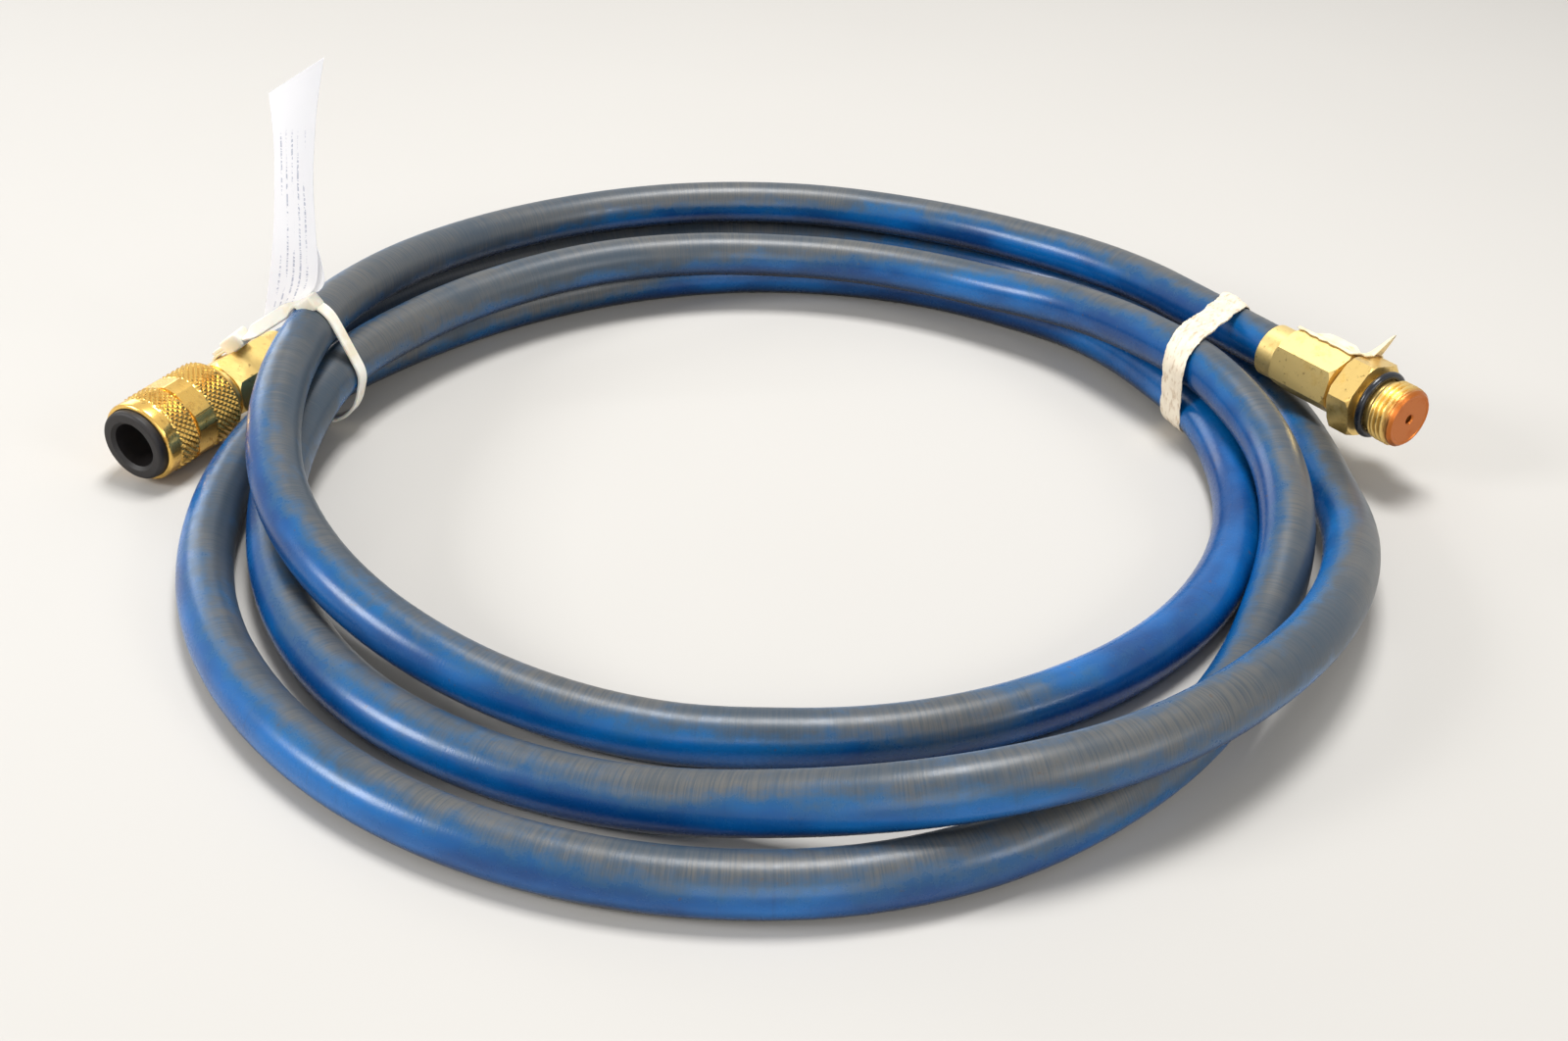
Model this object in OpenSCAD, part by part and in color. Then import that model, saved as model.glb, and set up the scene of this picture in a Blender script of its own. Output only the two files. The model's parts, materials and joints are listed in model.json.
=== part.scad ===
// Coiled air hose: a three and a third turn coil of rubber hose, tied at two
// places, with a screw-together brass hose end on each end of it. One end
// carries a male thread with an O-ring, the other a knurled coupling that
// turns freely on its stem. Z = 0 is the table that the coil lies on.
// All sizes are in millimetres, and all angles in degrees.

/* [Hose] */
// Outside diameter of the hose
hose_d = 15; // [14:0.5:16]
// Thickness of the cover, with the braid that is bonded into it
cover_wall = 2; // [1.6:0.1:2.4]
// Gap between the cover and the liner
liner_gap = 0.1; // [0.05:0.05:0.15]
// Bore of the hose
hose_bore_d = 8; // [7:0.5:9]

/* [Coil] */
// Radius of lane 0, the middle of the coil's width
coil_r = 150; // [148:1:175]
// Least gap between two turns that lie side by side or on each other
turn_gap = 0.5; // [0.5:0.1:1]
// Angle at which the hose leaves the coil for the threaded end
coil_start = 25; // [24:0.5:26]
// Angle at which the hose leaves the coil for the coupling
coil_end = 1234; // [1232:0.5:1236]
// Direction in which the threaded end points
male_heading = -56; // [-58:0.5:-54]
// Direction in which the coupling points
coupling_heading = 245; // [244:0.5:246]
// Straight run of hose between the coil and the threaded end's socket
male_run = 15; // [13:1:17]
// Straight run of hose between the coil and the coupling's socket
coupling_run = 17.5; // [15:0.5:19]
// Share of the hose's diameter that its own weight flattens underneath
flat_share = 0.1; // [0.08:0.01:0.12]

/* [Hose ends] */
// Length of hose that each socket grips
grip_length = 24; // [20:0.5:26]
// Clearance between the hose and what grips it
grip_gap = 0.1; // [0.05:0.05:0.2]
// Wall of the round collar at the rear of a socket
collar_wall = 0.8; // [0.6:0.1:1.2]
// Length of the round collar
collar_length = 7; // [5:0.5:9]
// Width across the flats of a socket's hexagon
socket_af = 17.5; // [17.2:0.1:19]
// Thickness of the front wall of a socket
socket_front = 4.5; // [3:0.5:6]
// Diameter of the shank that screws into a socket's front wall
shank_d = 10.4; // [10:0.1:12]
// Clearance between the parts that are screwed or set together
seat_gap = 0.05; // [0.03:0.01:0.1]
// Air passage through the tail
passage_d = 4.4; // [3.5:0.1:4.6]
// Depth of a barb on the tail
barb_depth = 0.5; // [0.3:0.1:0.7]
// Distance between two barbs
barb_pitch = 4; // [3:0.5:5]

/* [Threaded end] */
// Diameter of the neck between the socket and the hexagon
neck_d = 14; // [12:0.5:15]
// Length of the neck
neck_length = 3; // [2:0.1:4]
// Width across the flats of the wrench hexagon
wrench_af = 22.2; // [21.5:0.1:24]
// Length of the wrench hexagon
wrench_length = 8; // [6:0.5:10]
// Outside diameter of the thread
thread_d = 19.05; // [18.5:0.05:20]
// Pitch of the thread
thread_pitch = 1.5875; // [1.4:0.0125:2]
// Number of thread crests
thread_crests = 4; // [3:1:5]
// Diameter of the undercut behind the thread
undercut_d = 16.4; // [15.6:0.1:16.8]
// Length of the undercut
undercut_length = 5.3; // [3.6:0.1:6.5]
// Turn of the wrench hexagon
wrench_turn = 17; // [-30:1:30]
// Turn of the hexagon of the socket beside it
male_socket_turn = -10; // [-30:1:30]
// Thickness of the O-ring on the undercut
ring_section = 2.4; // [2:0.1:2.8]
// Length of the plain nose in front of the thread
nose_length = 1.9; // [1.6:0.1:3]
// Chamfer at the end of the nose
nose_chamfer = 0.9; // [0.5:0.1:1.4]
// Diameter of the small hole in the end face
orifice_d = 2.7; // [2:0.1:3.4]
// Length of the small hole
orifice_length = 5; // [3:0.5:7]

/* [Coupling stem] */
// Diameter of the flange in front of the socket
flange_d = 17; // [16:0.1:18]
// Thickness of the flange
flange_length = 3; // [2:0.5:4]
// Diameter of the neck that the coupling turns on
journal_d = 11; // [10.5:0.1:11.5]
// Diameter of the stem's spigot in front of the neck
spigot_d = 9.6; // [9.2:0.1:10]
// Length of the spigot in front of the retaining ring
spigot_length = 8; // [6:0.5:9]
// Thickness of the seal ring on the spigot
seal_section = 1.8; // [1.4:0.1:2]
// Thickness of the thrust washer
washer_thick = 1.2; // [0.8:0.1:1.6]
// Outside diameter of the thrust washer and of the retaining ring
washer_d = 15.5; // [14.5:0.1:16]
// Thickness of the retaining ring
retainer_thick = 1.2; // [0.8:0.1:1.5]
// Depth of the groove that holds the retaining ring
retainer_depth = 0.8; // [0.5:0.1:1]

/* [Coupling nut] */
// Outside diameter of the knurled nut
nut_d = 25.6; // [25:0.1:26.4]
// Thickness of the nut's rear wall
nut_rear = 3; // [2.5:0.1:4]
// Radial running clearance on the neck
running_gap = 0.08; // [0.05:0.01:0.1]
// Gap beside each face that slides past another
side_gap = 0.35; // [0.3:0.05:0.5]
// Bevel at the rear of the nut
nut_bevel = 1.6; // [1:0.1:2.5]
// Length of the knurled band behind the flats
rear_knurl = 10.6; // [8:0.2:12]
// Length of the knurled band behind the rim
front_knurl = 8; // [6:0.5:10]
// Length of the zone with wrench flats
flats_length = 7; // [5:0.5:8]
// Width across the nut's flats
nut_af = 24; // [23.6:0.1:24.6]
// Turn of the nut's flats
flats_turn = -15; // [-30:1:30]
// Length of the plain rim in front of the front knurl
rim_length = 4.6; // [2:0.2:6]
// Chamfer at the front of the rim
rim_chamfer = 1; // [0.5:0.1:1.5]
// Diameter of the cavity inside the nut
cavity_d = 17; // [16.5:0.1:18]

/* [Rubber mouth] */
// Outside diameter of the rubber bush
bush_d = 22; // [21.4:0.1:22.4]
// Length of the rubber bush inside the nut
bush_depth = 9; // [7:0.5:10]
// Length by which the bush stands out of the nut
bush_proud = 2.6; // [1.8:0.1:3.4]
// Bore of the bush
bush_bore_d = 14; // [12.5:0.1:14.5]
// Rounding of the bush's outer edge
bush_round = 1.2; // [0.8:0.1:1.6]
// Thickness of the washer behind the bush
backing_thick = 1.5; // [1:0.1:2]
// Bore of the washer, narrower than the bush's to stop what is pushed in
backing_bore_d = 12; // [9:0.5:12.5]

/* [Cable tie] */
// Angle at which the tie goes round the coil
tie_angle = 165; // [164:0.5:166]
// Width of the strap
strap_w = 3.5; // [2.5:0.1:4]
// Thickness of the strap
strap_t = 1.2; // [0.8:0.1:1.4]
// Gap between the strap and what it goes round
strap_gap = 0.3; // [0.3:0.05:0.5]
// Length of the head along the strap
head_l = 7; // [5.5:0.1:8]
// Width of the head
head_w = 6.6; // [5.5:0.1:7.5]
// Height of the head over the strap's inner face
head_t = 5; // [4:0.1:5.5]

/* [Paper tag] */
// Height of the tag above its foot
tag_h = 70; // [55:1:80]
// Width of the tag
tag_w = 13.8; // [11:0.1:15]
// Thickness of the folded paper
tag_t = 0.5; // [0.4:0.1:0.8]
// Sideways lean of the tag from foot to top
tag_lean = 12.5; // [8:0.5:15]
// Length of the drawn-out corner at the top
tag_tip = 12; // [6:1:14]
// Distance of the tag's foot outside the middle of the hose beside it
tag_out = 9; // [8:0.5:11]
// Width of the hem that is folded under the strap
hem_w = 8; // [5:0.5:9]

/* [Band] */
// Angle at which the band crosses the hose to the threaded end
band_angle = 26.8; // [26.4:0.1:27.4]
// Turn of the band from straight across the coil
band_skew = 27; // [24:1:30]
// Width of the band
band_w = 9; // [8:0.5:10]
// Thickness of the band
band_t = 0.8; // [0.6:0.1:1]
// Gap between the band and the hose
band_gap = 0.4; // [0.4:0.05:0.6]

/* [Torn tape] */
// Thickness of the tape
tape_t = 0.5; // [0.4:0.1:0.8]
// Gap between the tape and the brass
tape_gap = 0.3; // [0.3:0.05:0.4]
// Width of the tape, measured across the top of the fitting
tape_w = 8; // [6:0.5:9]
// Length of the tape on the socket
tape_l = 22; // [18:0.5:23]
// Length of the tape on the wrench hexagon
tape_lap = 1.6; // [1.4:0.1:4]
// Height of the tape's crumpled edge, which stands off the brass
ridge_h = 3.8; // [2:0.1:5]
// Height of the tape's loose point over the wrench hexagon
spike_h = 8.2; // [5:0.1:10]
// Length by which the loose point leans forward
spike_reach = 3.2; // [2:0.1:8]

/* [Hidden] */
$fn = 96;

// Where the coil's own middle lies, so that the footprint's middle is the origin
coil_at = [8.57, -6.39, 0];

// Rings on each turn of the coil, and sides of the hose's section
loop_rings = 24;
sides = 10;
ring_step = 360 / loop_rings;
// The flats between rings run half inside and half outside the true curve
ring_k = 2 / (1 + cos(ring_step / 2));
pitch = hose_d + turn_gap;
rest_z = hose_d / 2 - flat_share * hose_d;
// The coupling's nut rests on the table too
nut_level = (nut_d / 2 - rest_z) / pitch;

// The coil's route from the threaded end to the coupling. Each station is
// [angle round the coil, lane, level]. A lane and a level are one pitch each:
// lane 0 has the radius coil_r and larger lanes lie further out, and level 0
// rests on the table. Level 0.2 leaves room for a tie under the hose.
stations = [
    // over everything at the back and the left, then down to the inmost lane
    [24, 0.46, 1.21], [30, 0.45, 1.18], [36, 0.52, 1.15], [45, 0.66, 1.11],
    [60, 0.86, 1.04], [75, 1.23, 0.99], [90, 1.60, 1.00], [105, 1.80, 1.02],
    [120, 1.73, 1.08], [135, 1.37, 1.25], [150, 0.77, 1.55], [165, 0.24, 1.79], [180, -0.05, 1.55],
    [195, -0.34, 1.17], [210, -0.77, 0.80], [225, -1.26, 0.44], [240, -1.69, 0.15],
    [255, -1.98, 0], [270, -2.13, 0], [300, -2.03, 0], [330, -1.69, 0],
    // on the table round the back, out to lane 1.2 in front
    [360, -1.26, 0], [375, -1.12, 0.21], [390, -1.00, 0.22], [405, -0.63, 0.10],
    [420, -0.48, 0], [450, -0.24, 0], [480, -0.05, 0], [495, 0.10, 0.02],
    [510, 0.29, 0.10], [525, 0.62, 0.21], [540, 0.92, 0.10], [555, 1.08, 0],
    [570, 1.16, 0], [600, 1.16, 0], [630, 0.92, 0], [645, 0.63, 0],
    [660, 0.16, 0], [675, -0.27, 0], [690, -0.58, 0.10], [705, -0.64, 0.56],
    // up onto the turn below at the back, then down beside it in front
    [720, -0.78, 0.93], [735, -1.15, 1.24], [750, -1.38, 1.18], [765, -1.32, 0.95],
    [780, -1.31, 0.77], [810, -0.97, 0.75], [825, -0.77, 0.81], [840, -0.61, 0.87],
    [855, -0.48, 0.87], [870, -0.36, 0.88], [885, -0.17, 0.85], [900, -0.10, 0.48],
    [915, -0.10, 0.14], [930, -0.10, 0], [945, -0.12, 0], [960, -0.27, 0],
    [975, -0.34, 0.12], [990, -0.10, 0.56], [1005, 0.32, 1.01], [1020, 0.39, 1.01],
    [1035, 0.39, 0.95], [1050, 0.44, 0.77], [1065, 0.47, 0.45], [1080, 0.44, 0.15],
    // outside the others round the right and the back
    [1095, 0.73, 0.05], [1110, 1.02, 0.24], [1125, 1.26, 0.12], [1140, 1.45, 0],
    [1155, 1.60, 0], [1170, 1.74, 0], [1185, 1.86, 0.02], [1200, 1.93, 0.10],
    [1215, 1.88, 0.27], [1237, 1.76, nut_level]];
last_station = len(stations) - 1;

// Smooth curve through one column of the stations
function slope(k, c) =
    let (a = stations[max(k - 1, 0)], b = stations[min(k + 1, last_station)])
    (b[c] - a[c]) / (b[0] - a[0]);
function span_at(angle, k = 0) =
    k >= last_station - 1 || stations[k + 1][0] > angle ? k : span_at(angle, k + 1);
function column_at(angle, c) =
    let (k = span_at(angle), a = stations[k], b = stations[k + 1])
    let (w = b[0] - a[0], t = (angle - a[0]) / w)
    (2 * t ^ 3 - 3 * t ^ 2 + 1) * a[c] + (t ^ 3 - 2 * t ^ 2 + t) * w * slope(k, c)
    + (3 * t ^ 2 - 2 * t ^ 3) * b[c] + (t ^ 3 - t ^ 2) * w * slope(k + 1, c);
function centre_at(angle, k = ring_k) =
    let (r = k * (coil_r + column_at(angle, 1) * pitch))
    [r * cos(angle), r * sin(angle), rest_z + column_at(angle, 2) * pitch];

// The rings lie at the same angles on every turn, so that facets face facets
first_ring = ring_step * ceil((coil_start + 3) / ring_step);
last_ring = ring_step * floor((coil_end - 3) / ring_step);
function heading(angle) = [cos(angle), sin(angle), 0];
leave_male = centre_at(coil_start, 1);
end_level = [0, 0, nut_d / 2 - centre_at(coil_end, 1)[2]];
leave_coupling = centre_at(coil_end, 1) + end_level;
male_at = leave_male + male_run * heading(male_heading);
coupling_at = leave_coupling + coupling_run * heading(coupling_heading);
path = concat(
    [male_at + grip_length * heading(male_heading), leave_male],
    [for (angle = [first_ring : ring_step : last_ring]) centre_at(angle)],
    [leave_coupling, coupling_at + grip_length * heading(coupling_heading)]);
rows = len(path);

// Section of the coil at an angle, as [distance from the coil's middle, height],
// on the straight between the two rings beside it
function flat_xy(p) = [norm([p[0], p[1]]), p[2]];
function section_at(angle) =
    let (a = ring_step * floor(angle / ring_step), b = a + ring_step)
    let (p = a < coil_start ? leave_male : centre_at(a))
    let (q = b > coil_end ? leave_coupling : centre_at(b), n = [-sin(angle), cos(angle), 0])
    let (t = (p * n) / (p * n - q * n))
    flat_xy(p + t * (q - p));

// Direction of the hose at a ring, and the points of a ring
function unit(v) = v / norm(v);
function along(k) =
    k <= 1 ? -heading(male_heading)
    : k >= rows - 2 ? heading(coupling_heading)
    : unit(unit(path[k + 1] - path[k]) + unit(path[k] - path[k - 1]));
function ring(k, r) =
    let (side = unit(cross(along(k), [0, 0, 1])), up = cross(side, along(k)))
    [for (j = [0 : sides - 1])
        let (p = path[k] + r * cos(360 * j / sides) * side + r * sin(360 * j / sides) * up)
        [p[0], p[1], max(p[2], 0)]];

// Least gap of the hose to its own other turns
function gap_to(p, a, b) =
    let (t = max(0, min(1, (p - a) * (b - a) / ((b - a) * (b - a)))))
    norm(p - a - t * (b - a));
self_gap = min([for (k = [0 : 2 * rows - 2], m = [0 : rows - 2])
    if (abs(k / 2 - m) > 8)
    gap_to((path[floor(k / 2)] + path[ceil(k / 2)]) / 2, path[m], path[m + 1])]) - hose_d;
echo(str("least gap of the hose to itself: ", self_gap, " mm"));
hose_length = sum_steps(rows - 1);
function sum_steps(k) = k == 0 ? 0 : norm(path[k] - path[k - 1]) + sum_steps(k - 1);
echo(str("length of the hose: ", hose_length, " mm"));

cover_r = hose_d / 2;
cover_bore_r = cover_r - cover_wall;
liner_r = cover_bore_r - liner_gap;
liner_bore_r = hose_bore_d / 2;

// Sizes along a hose end, from the rear face of its socket
socket_bore_r = cover_r + grip_gap;
collar_r = socket_bore_r + collar_wall;
end_room = 0.5;
socket_depth = grip_length + end_room;
socket_length = socket_depth + socket_front;
shank_r = shank_d / 2;
tail_r = liner_bore_r * cos(180 / sides) - grip_gap;
tail_start = 2;
neck_end = socket_length + neck_length;
wrench_end = neck_end + wrench_length;
thread_start = wrench_end + undercut_length;
thread_end = thread_start + thread_crests * thread_pitch;
nose_end = thread_end + nose_length;
thread_depth = 0.6134 * thread_pitch;

// Sizes along the coupling
flange_start = socket_length + seat_gap;
flange_end = flange_start + flange_length;
nut_start = flange_end + side_gap;
nut_wall_end = nut_start + nut_rear;
washer_start = nut_wall_end + side_gap;
retainer_start = washer_start + washer_thick + seat_gap;
retainer_end = retainer_start + retainer_thick;
spigot_end = retainer_end + spigot_length;
seal_at = retainer_end + spigot_length / 2;
flats_start = nut_start + nut_bevel + rear_knurl;
flats_end = flats_start + flats_length;
nut_end = flats_end + front_knurl + rim_length;
bush_start = nut_end - bush_depth;
bush_end = nut_end + bush_proud;
backing_start = bush_start - seat_gap - backing_thick;

// Places a child on the axis of a hose end, with Z pointing out of the hose
module on_male() {
    translate(coil_at + male_at) rotate([0, 90, male_heading]) children();
}
module on_coupling() {
    translate(coil_at + coupling_at) rotate([0, 90, coupling_heading]) children();
}

// Stands a child's XY plane up across the coil, X outwards and Y up, and
// centres its thickness on that plane
module across(angle, thickness) {
    translate(coil_at) rotate([0, 0, angle]) rotate([90, 0, 0])
        translate([0, 0, -thickness / 2]) linear_extrude(thickness) children();
}

// Hose wall between two radii, swept along the path as one closed tube
module hose_wall(outer_r, inner_r) {
    points = [for (k = [0 : rows - 1]) each concat(ring(k, outer_r), ring(k, inner_r))];
    n = sides;
    function at(k, wall, j) = k * 2 * n + wall * n + j % n;
    skin = [for (k = [0 : rows - 2], j = [0 : n - 1]) each [
        [at(k, 0, j), at(k + 1, 0, j + 1), at(k + 1, 0, j)],
        [at(k, 0, j), at(k, 0, j + 1), at(k + 1, 0, j + 1)],
        [at(k, 1, j), at(k + 1, 1, j), at(k + 1, 1, j + 1)],
        [at(k, 1, j), at(k + 1, 1, j + 1), at(k, 1, j + 1)]]];
    ends = [for (j = [0 : n - 1]) each [
        [at(0, 0, j), at(0, 1, j + 1), at(0, 0, j + 1)],
        [at(0, 0, j), at(0, 1, j), at(0, 1, j + 1)],
        [at(rows - 1, 0, j), at(rows - 1, 0, j + 1), at(rows - 1, 1, j + 1)],
        [at(rows - 1, 0, j), at(rows - 1, 1, j + 1), at(rows - 1, 1, j)]]];
    translate(coil_at) polyhedron(points, concat(skin, ends), convexity = 12);
}

// Hexagonal bar along Z with its corners bevelled at both ends
module hex_bar(af, length, bevel) {
    corner = af / 2 / cos(30);
    intersection() {
        cylinder(r = corner, h = length, $fn = 6);
        rotate_extrude()
            polygon([[0, 0], [corner - bevel, 0], [corner, bevel],
                [corner, length - bevel], [corner - bevel, length], [0, length]]);
    }
}

// Socket that screws over the hose: a round collar and a hexagon
module socket(turn) {
    rear_round = min(0.4, collar_wall / 2);
    difference() {
        union() {
            rotate_extrude()
                polygon([[0, 0], [collar_r - rear_round, 0], [collar_r, rear_round],
                    [collar_r, collar_length + 1], [0, collar_length + 1]]);
            translate([0, 0, collar_length]) rotate([0, 0, turn])
                hex_bar(socket_af, socket_length - collar_length, 1);
        }
        translate([0, 0, -1]) cylinder(r = socket_bore_r, h = socket_depth + 1);
        cylinder(r = shank_r + seat_gap, h = socket_length + 1);
    }
}

// Profile of the barbed tail and the shank, from the passage outwards
barbs = floor((grip_length - tail_start - 2) / barb_pitch);
tail_profile = concat(
    [[0, tail_start], [tail_r - barb_depth, tail_start]],
    [for (k = [1 : barbs]) each [
        [tail_r, tail_start + k * barb_pitch],
        [tail_r - barb_depth, tail_start + k * barb_pitch]]],
    [[tail_r - barb_depth, grip_length - 1], [tail_r, grip_length],
        [tail_r, grip_length + end_room / 2], [shank_r, grip_length + end_room / 2]]);

// Profile of one thread crest of the male thread
function crest(k) =
    let (s = thread_start + k * thread_pitch, r = thread_d / 2, flat = thread_pitch / 8)
    let (ramp = (thread_pitch - 2 * flat) / 2)
    [[r - thread_depth, s + flat / 2], [r, s + flat / 2 + ramp],
        [r, s + 3 * flat / 2 + ramp], [r - thread_depth, s + thread_pitch - flat / 2]];

module hose_cover() {
    color([0.16, 0.27, 0.38]) hose_wall(cover_r, cover_bore_r);
}

module hose_liner() {
    color([0.1, 0.1, 0.1]) hose_wall(liner_r, liner_bore_r);
}

module male_socket() {
    color([0.79, 0.6, 0.27]) on_male() socket(male_socket_turn);
}

module coupling_socket() {
    color([0.79, 0.6, 0.27]) on_coupling() socket(0);
}

module male_insert() {
    color([0.82, 0.62, 0.28]) on_male() difference() {
        union() {
            rotate_extrude() polygon(concat(tail_profile,
                [[shank_r, socket_length + seat_gap],
                    [neck_d / 2, socket_length + seat_gap], [neck_d / 2, neck_end + 1],
                    [undercut_d / 2, neck_end + 1]],
                [[undercut_d / 2, thread_start]],
                [for (k = [0 : thread_crests - 1]) each crest(k)],
                [[thread_d / 2 - 0.4, thread_end], [thread_d / 2 - 0.4, nose_end - nose_chamfer],
                    [thread_d / 2 - 0.4 - nose_chamfer, nose_end], [0, nose_end]]));
            translate([0, 0, neck_end]) rotate([0, 0, wrench_turn])
                hex_bar(wrench_af, wrench_length, 1);
        }
        translate([0, 0, tail_start - 1])
            cylinder(d = passage_d, h = nose_end - orifice_length - tail_start + 1);
        cylinder(d = orifice_d, h = nose_end + 1);
    }
}

// Rubber ring of round section round Z, its inside on the given radius
module round_ring(inner_r, section) {
    rotate_extrude() translate([inner_r + section / 2, 0]) circle(d = section, $fn = 32);
}

module male_o_ring() {
    color([0.07, 0.08, 0.1]) on_male()
        translate([0, 0, wrench_end + undercut_length / 2])
            round_ring(undercut_d / 2 + seat_gap, ring_section);
}

module coupling_stem() {
    journal_r = journal_d / 2;
    groove_r = spigot_d / 2 - retainer_depth;
    seal_r = spigot_d / 2 - seal_section / 2;
    color([0.8, 0.61, 0.27]) on_coupling() difference() {
        rotate_extrude() polygon(concat(tail_profile, [
            [shank_r, flange_start], [flange_d / 2, flange_start],
            [flange_d / 2, flange_end - 0.8], [flange_d / 2 - 0.8, flange_end],
            [journal_r, flange_end], [journal_r, washer_start - seat_gap],
            [spigot_d / 2, washer_start - seat_gap], [spigot_d / 2, retainer_start - seat_gap],
            [groove_r, retainer_start - seat_gap], [groove_r, retainer_end + seat_gap],
            [spigot_d / 2, retainer_end + seat_gap],
            [spigot_d / 2, seal_at - seal_section / 2 - seat_gap],
            [seal_r, seal_at - seal_section / 2 - seat_gap],
            [seal_r, seal_at + seal_section / 2 + seat_gap],
            [spigot_d / 2, seal_at + seal_section / 2 + seat_gap],
            [spigot_d / 2, spigot_end - 0.6], [spigot_d / 2 - 0.6, spigot_end],
            [0, spigot_end]]));
        cylinder(d = passage_d, h = spigot_end + 1);
    }
}

module thrust_washer() {
    color([0.86, 0.84, 0.78]) on_coupling() translate([0, 0, washer_start]) difference() {
        cylinder(d = washer_d, h = washer_thick);
        translate([0, 0, -1]) cylinder(r = spigot_d / 2 + seat_gap, h = washer_thick + 2);
    }
}

module snap_ring() {
    color([0.6, 0.6, 0.62]) on_coupling() translate([0, 0, retainer_start]) difference() {
        cylinder(d = washer_d, h = retainer_thick);
        translate([0, 0, -1])
            cylinder(r = spigot_d / 2 - retainer_depth + seat_gap, h = retainer_thick + 2);
        translate([0, -1.5, -1]) cube([washer_d, 3, retainer_thick + 2]);
    }
}

module stem_o_ring() {
    color([0.07, 0.07, 0.07]) on_coupling() translate([0, 0, seal_at])
        round_ring(spigot_d / 2 - seal_section / 2 + seat_gap, seal_section);
}

module swivel_nut() {
    nut_r = nut_d / 2;
    color([0.8, 0.6, 0.25]) on_coupling() difference() {
        union() {
            rotate_extrude() polygon([
                [0, nut_start], [nut_r - nut_bevel, nut_start], [nut_r, nut_start + nut_bevel],
                [nut_r, flats_start], [0, flats_start]]);
            translate([0, 0, flats_start - 0.5]) intersection() {
                cylinder(r = nut_r, h = flats_length + 1);
                rotate([0, 0, flats_turn])
                    cylinder(r = nut_af / 2 / cos(30), h = flats_length + 1, $fn = 6);
            }
            rotate_extrude() polygon([
                [0, flats_end], [nut_r, flats_end], [nut_r, flats_end + front_knurl],
                [nut_r - 0.4, flats_end + front_knurl],
                [nut_r - 0.4, nut_end - rim_chamfer],
                [nut_r - 0.4 - rim_chamfer, nut_end], [0, nut_end]]);
        }
        cylinder(r = journal_d / 2 + running_gap, h = nut_end);
        translate([0, 0, nut_wall_end]) cylinder(d = cavity_d, h = nut_end - nut_wall_end);
        translate([0, 0, backing_start - seat_gap])
            cylinder(r = bush_d / 2 + seat_gap, h = nut_end);
    }
}

module rubber_bush() {
    bush_r = bush_d / 2;
    color([0.08, 0.08, 0.09]) on_coupling() rotate_extrude() difference() {
        union() {
            translate([bush_bore_d / 2, bush_start])
                square([bush_r - bush_bore_d / 2, bush_end - bush_round - bush_start]);
            translate([bush_bore_d / 2, bush_start])
                square([bush_r - bush_round - bush_bore_d / 2, bush_end - bush_start]);
            translate([bush_r - bush_round, bush_end - bush_round]) circle(r = bush_round);
        }
        polygon([[bush_bore_d / 2 - 1, bush_end + 1], [bush_bore_d / 2 + 2, bush_end + 1],
            [bush_bore_d / 2 - 1, bush_end - 2]]);
    }
}

module backing_washer() {
    color([0.62, 0.6, 0.56]) on_coupling() translate([0, 0, backing_start]) difference() {
        cylinder(d = bush_d, h = backing_thick);
        translate([0, 0, -1]) cylinder(d = backing_bore_d, h = backing_thick + 2);
    }
}

// Outline of a loop drawn tight round the given sections of the hose, and
// round the coupling's socket where the loop takes it in
module loop_fill(angles, spread, r) {
    hull() for (angle = angles, e = [-spread, spread])
        translate(section_at(angle + e)) circle(r = r, $fn = 32);
}

// Where the tie's plane cuts the axis of the coupling's socket
tie_normal = [-sin(tie_angle), cos(tie_angle), 0];
tie_reach = -(coupling_at * tie_normal) / (heading(coupling_heading) * tie_normal);
tie_socket = flat_xy(coupling_at + tie_reach * heading(coupling_heading));
tie_slant = 1 / abs(heading(coupling_heading) * tie_normal);
hex_reach = socket_af / 2 / cos(30) * tie_slant;
// Sideways shift of the slanting socket over half the width of the tie's head
socket_shift = head_w / 2 * sqrt(tie_slant ^ 2 - 1);
tie_turns = [tie_angle, tie_angle + 360, tie_angle + 720];
tie_spread = asin(strap_w / 2 / coil_r);

module tie_fill(grow) {
    hull() {
        loop_fill(tie_turns, tie_spread, cover_r + grow);
        for (x = [-socket_shift, socket_shift]) translate(tie_socket + [x, 0])
            rotate(90) circle(r = hex_reach + grow / cos(30), $fn = 6);
    }
}

// The strap's free span runs from the top turn to the socket's top corner
tie_top = section_at(tie_angle);
tie_corner = tie_socket + [0, hex_reach + strap_gap / cos(30)];
span_vector = tie_corner - tie_top;
span_angle = atan2(span_vector[1], span_vector[0])
    - asin((cover_r + strap_gap) / norm(span_vector));

module cable_tie() {
    color([0.93, 0.9, 0.8]) {
        across(tie_angle, strap_w) difference() {
            tie_fill(strap_gap + strap_t);
            tie_fill(strap_gap);
        }
        across(tie_angle, head_w) translate(tie_corner) rotate(span_angle) difference() {
            translate([-head_l / 2, 0]) square([head_l, head_t]);
            rotate(-span_angle) translate(-tie_corner) tie_fill(strap_gap);
        }
    }
}

// Tag standing behind the strap's free span. Its edges bend over smoothly
// towards the top, where one corner is drawn out to a tip.
tag_steps = 8;
function on_span(x) = [x, tie_corner[1] + (x - tie_corner[0]) * tan(span_angle)];
tag_foot = on_span(tie_top[0] + tag_out);
function tag_mid(h) = tag_foot + [-tag_lean * (1 - (1 - h) ^ 2), tag_h * h];
function tag_edge(side) =
    [for (k = [0 : tag_steps]) tag_mid(k / tag_steps) + [side * tag_w / 2, 0]
        + (k == 0 ? [0, side * tag_w / 2 * tan(span_angle) - tag_t - seat_gap] : [0, 0])];
tag_back = strap_w / 2 + strap_gap;
hem_depth = strap_w + strap_gap + tag_t;

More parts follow.
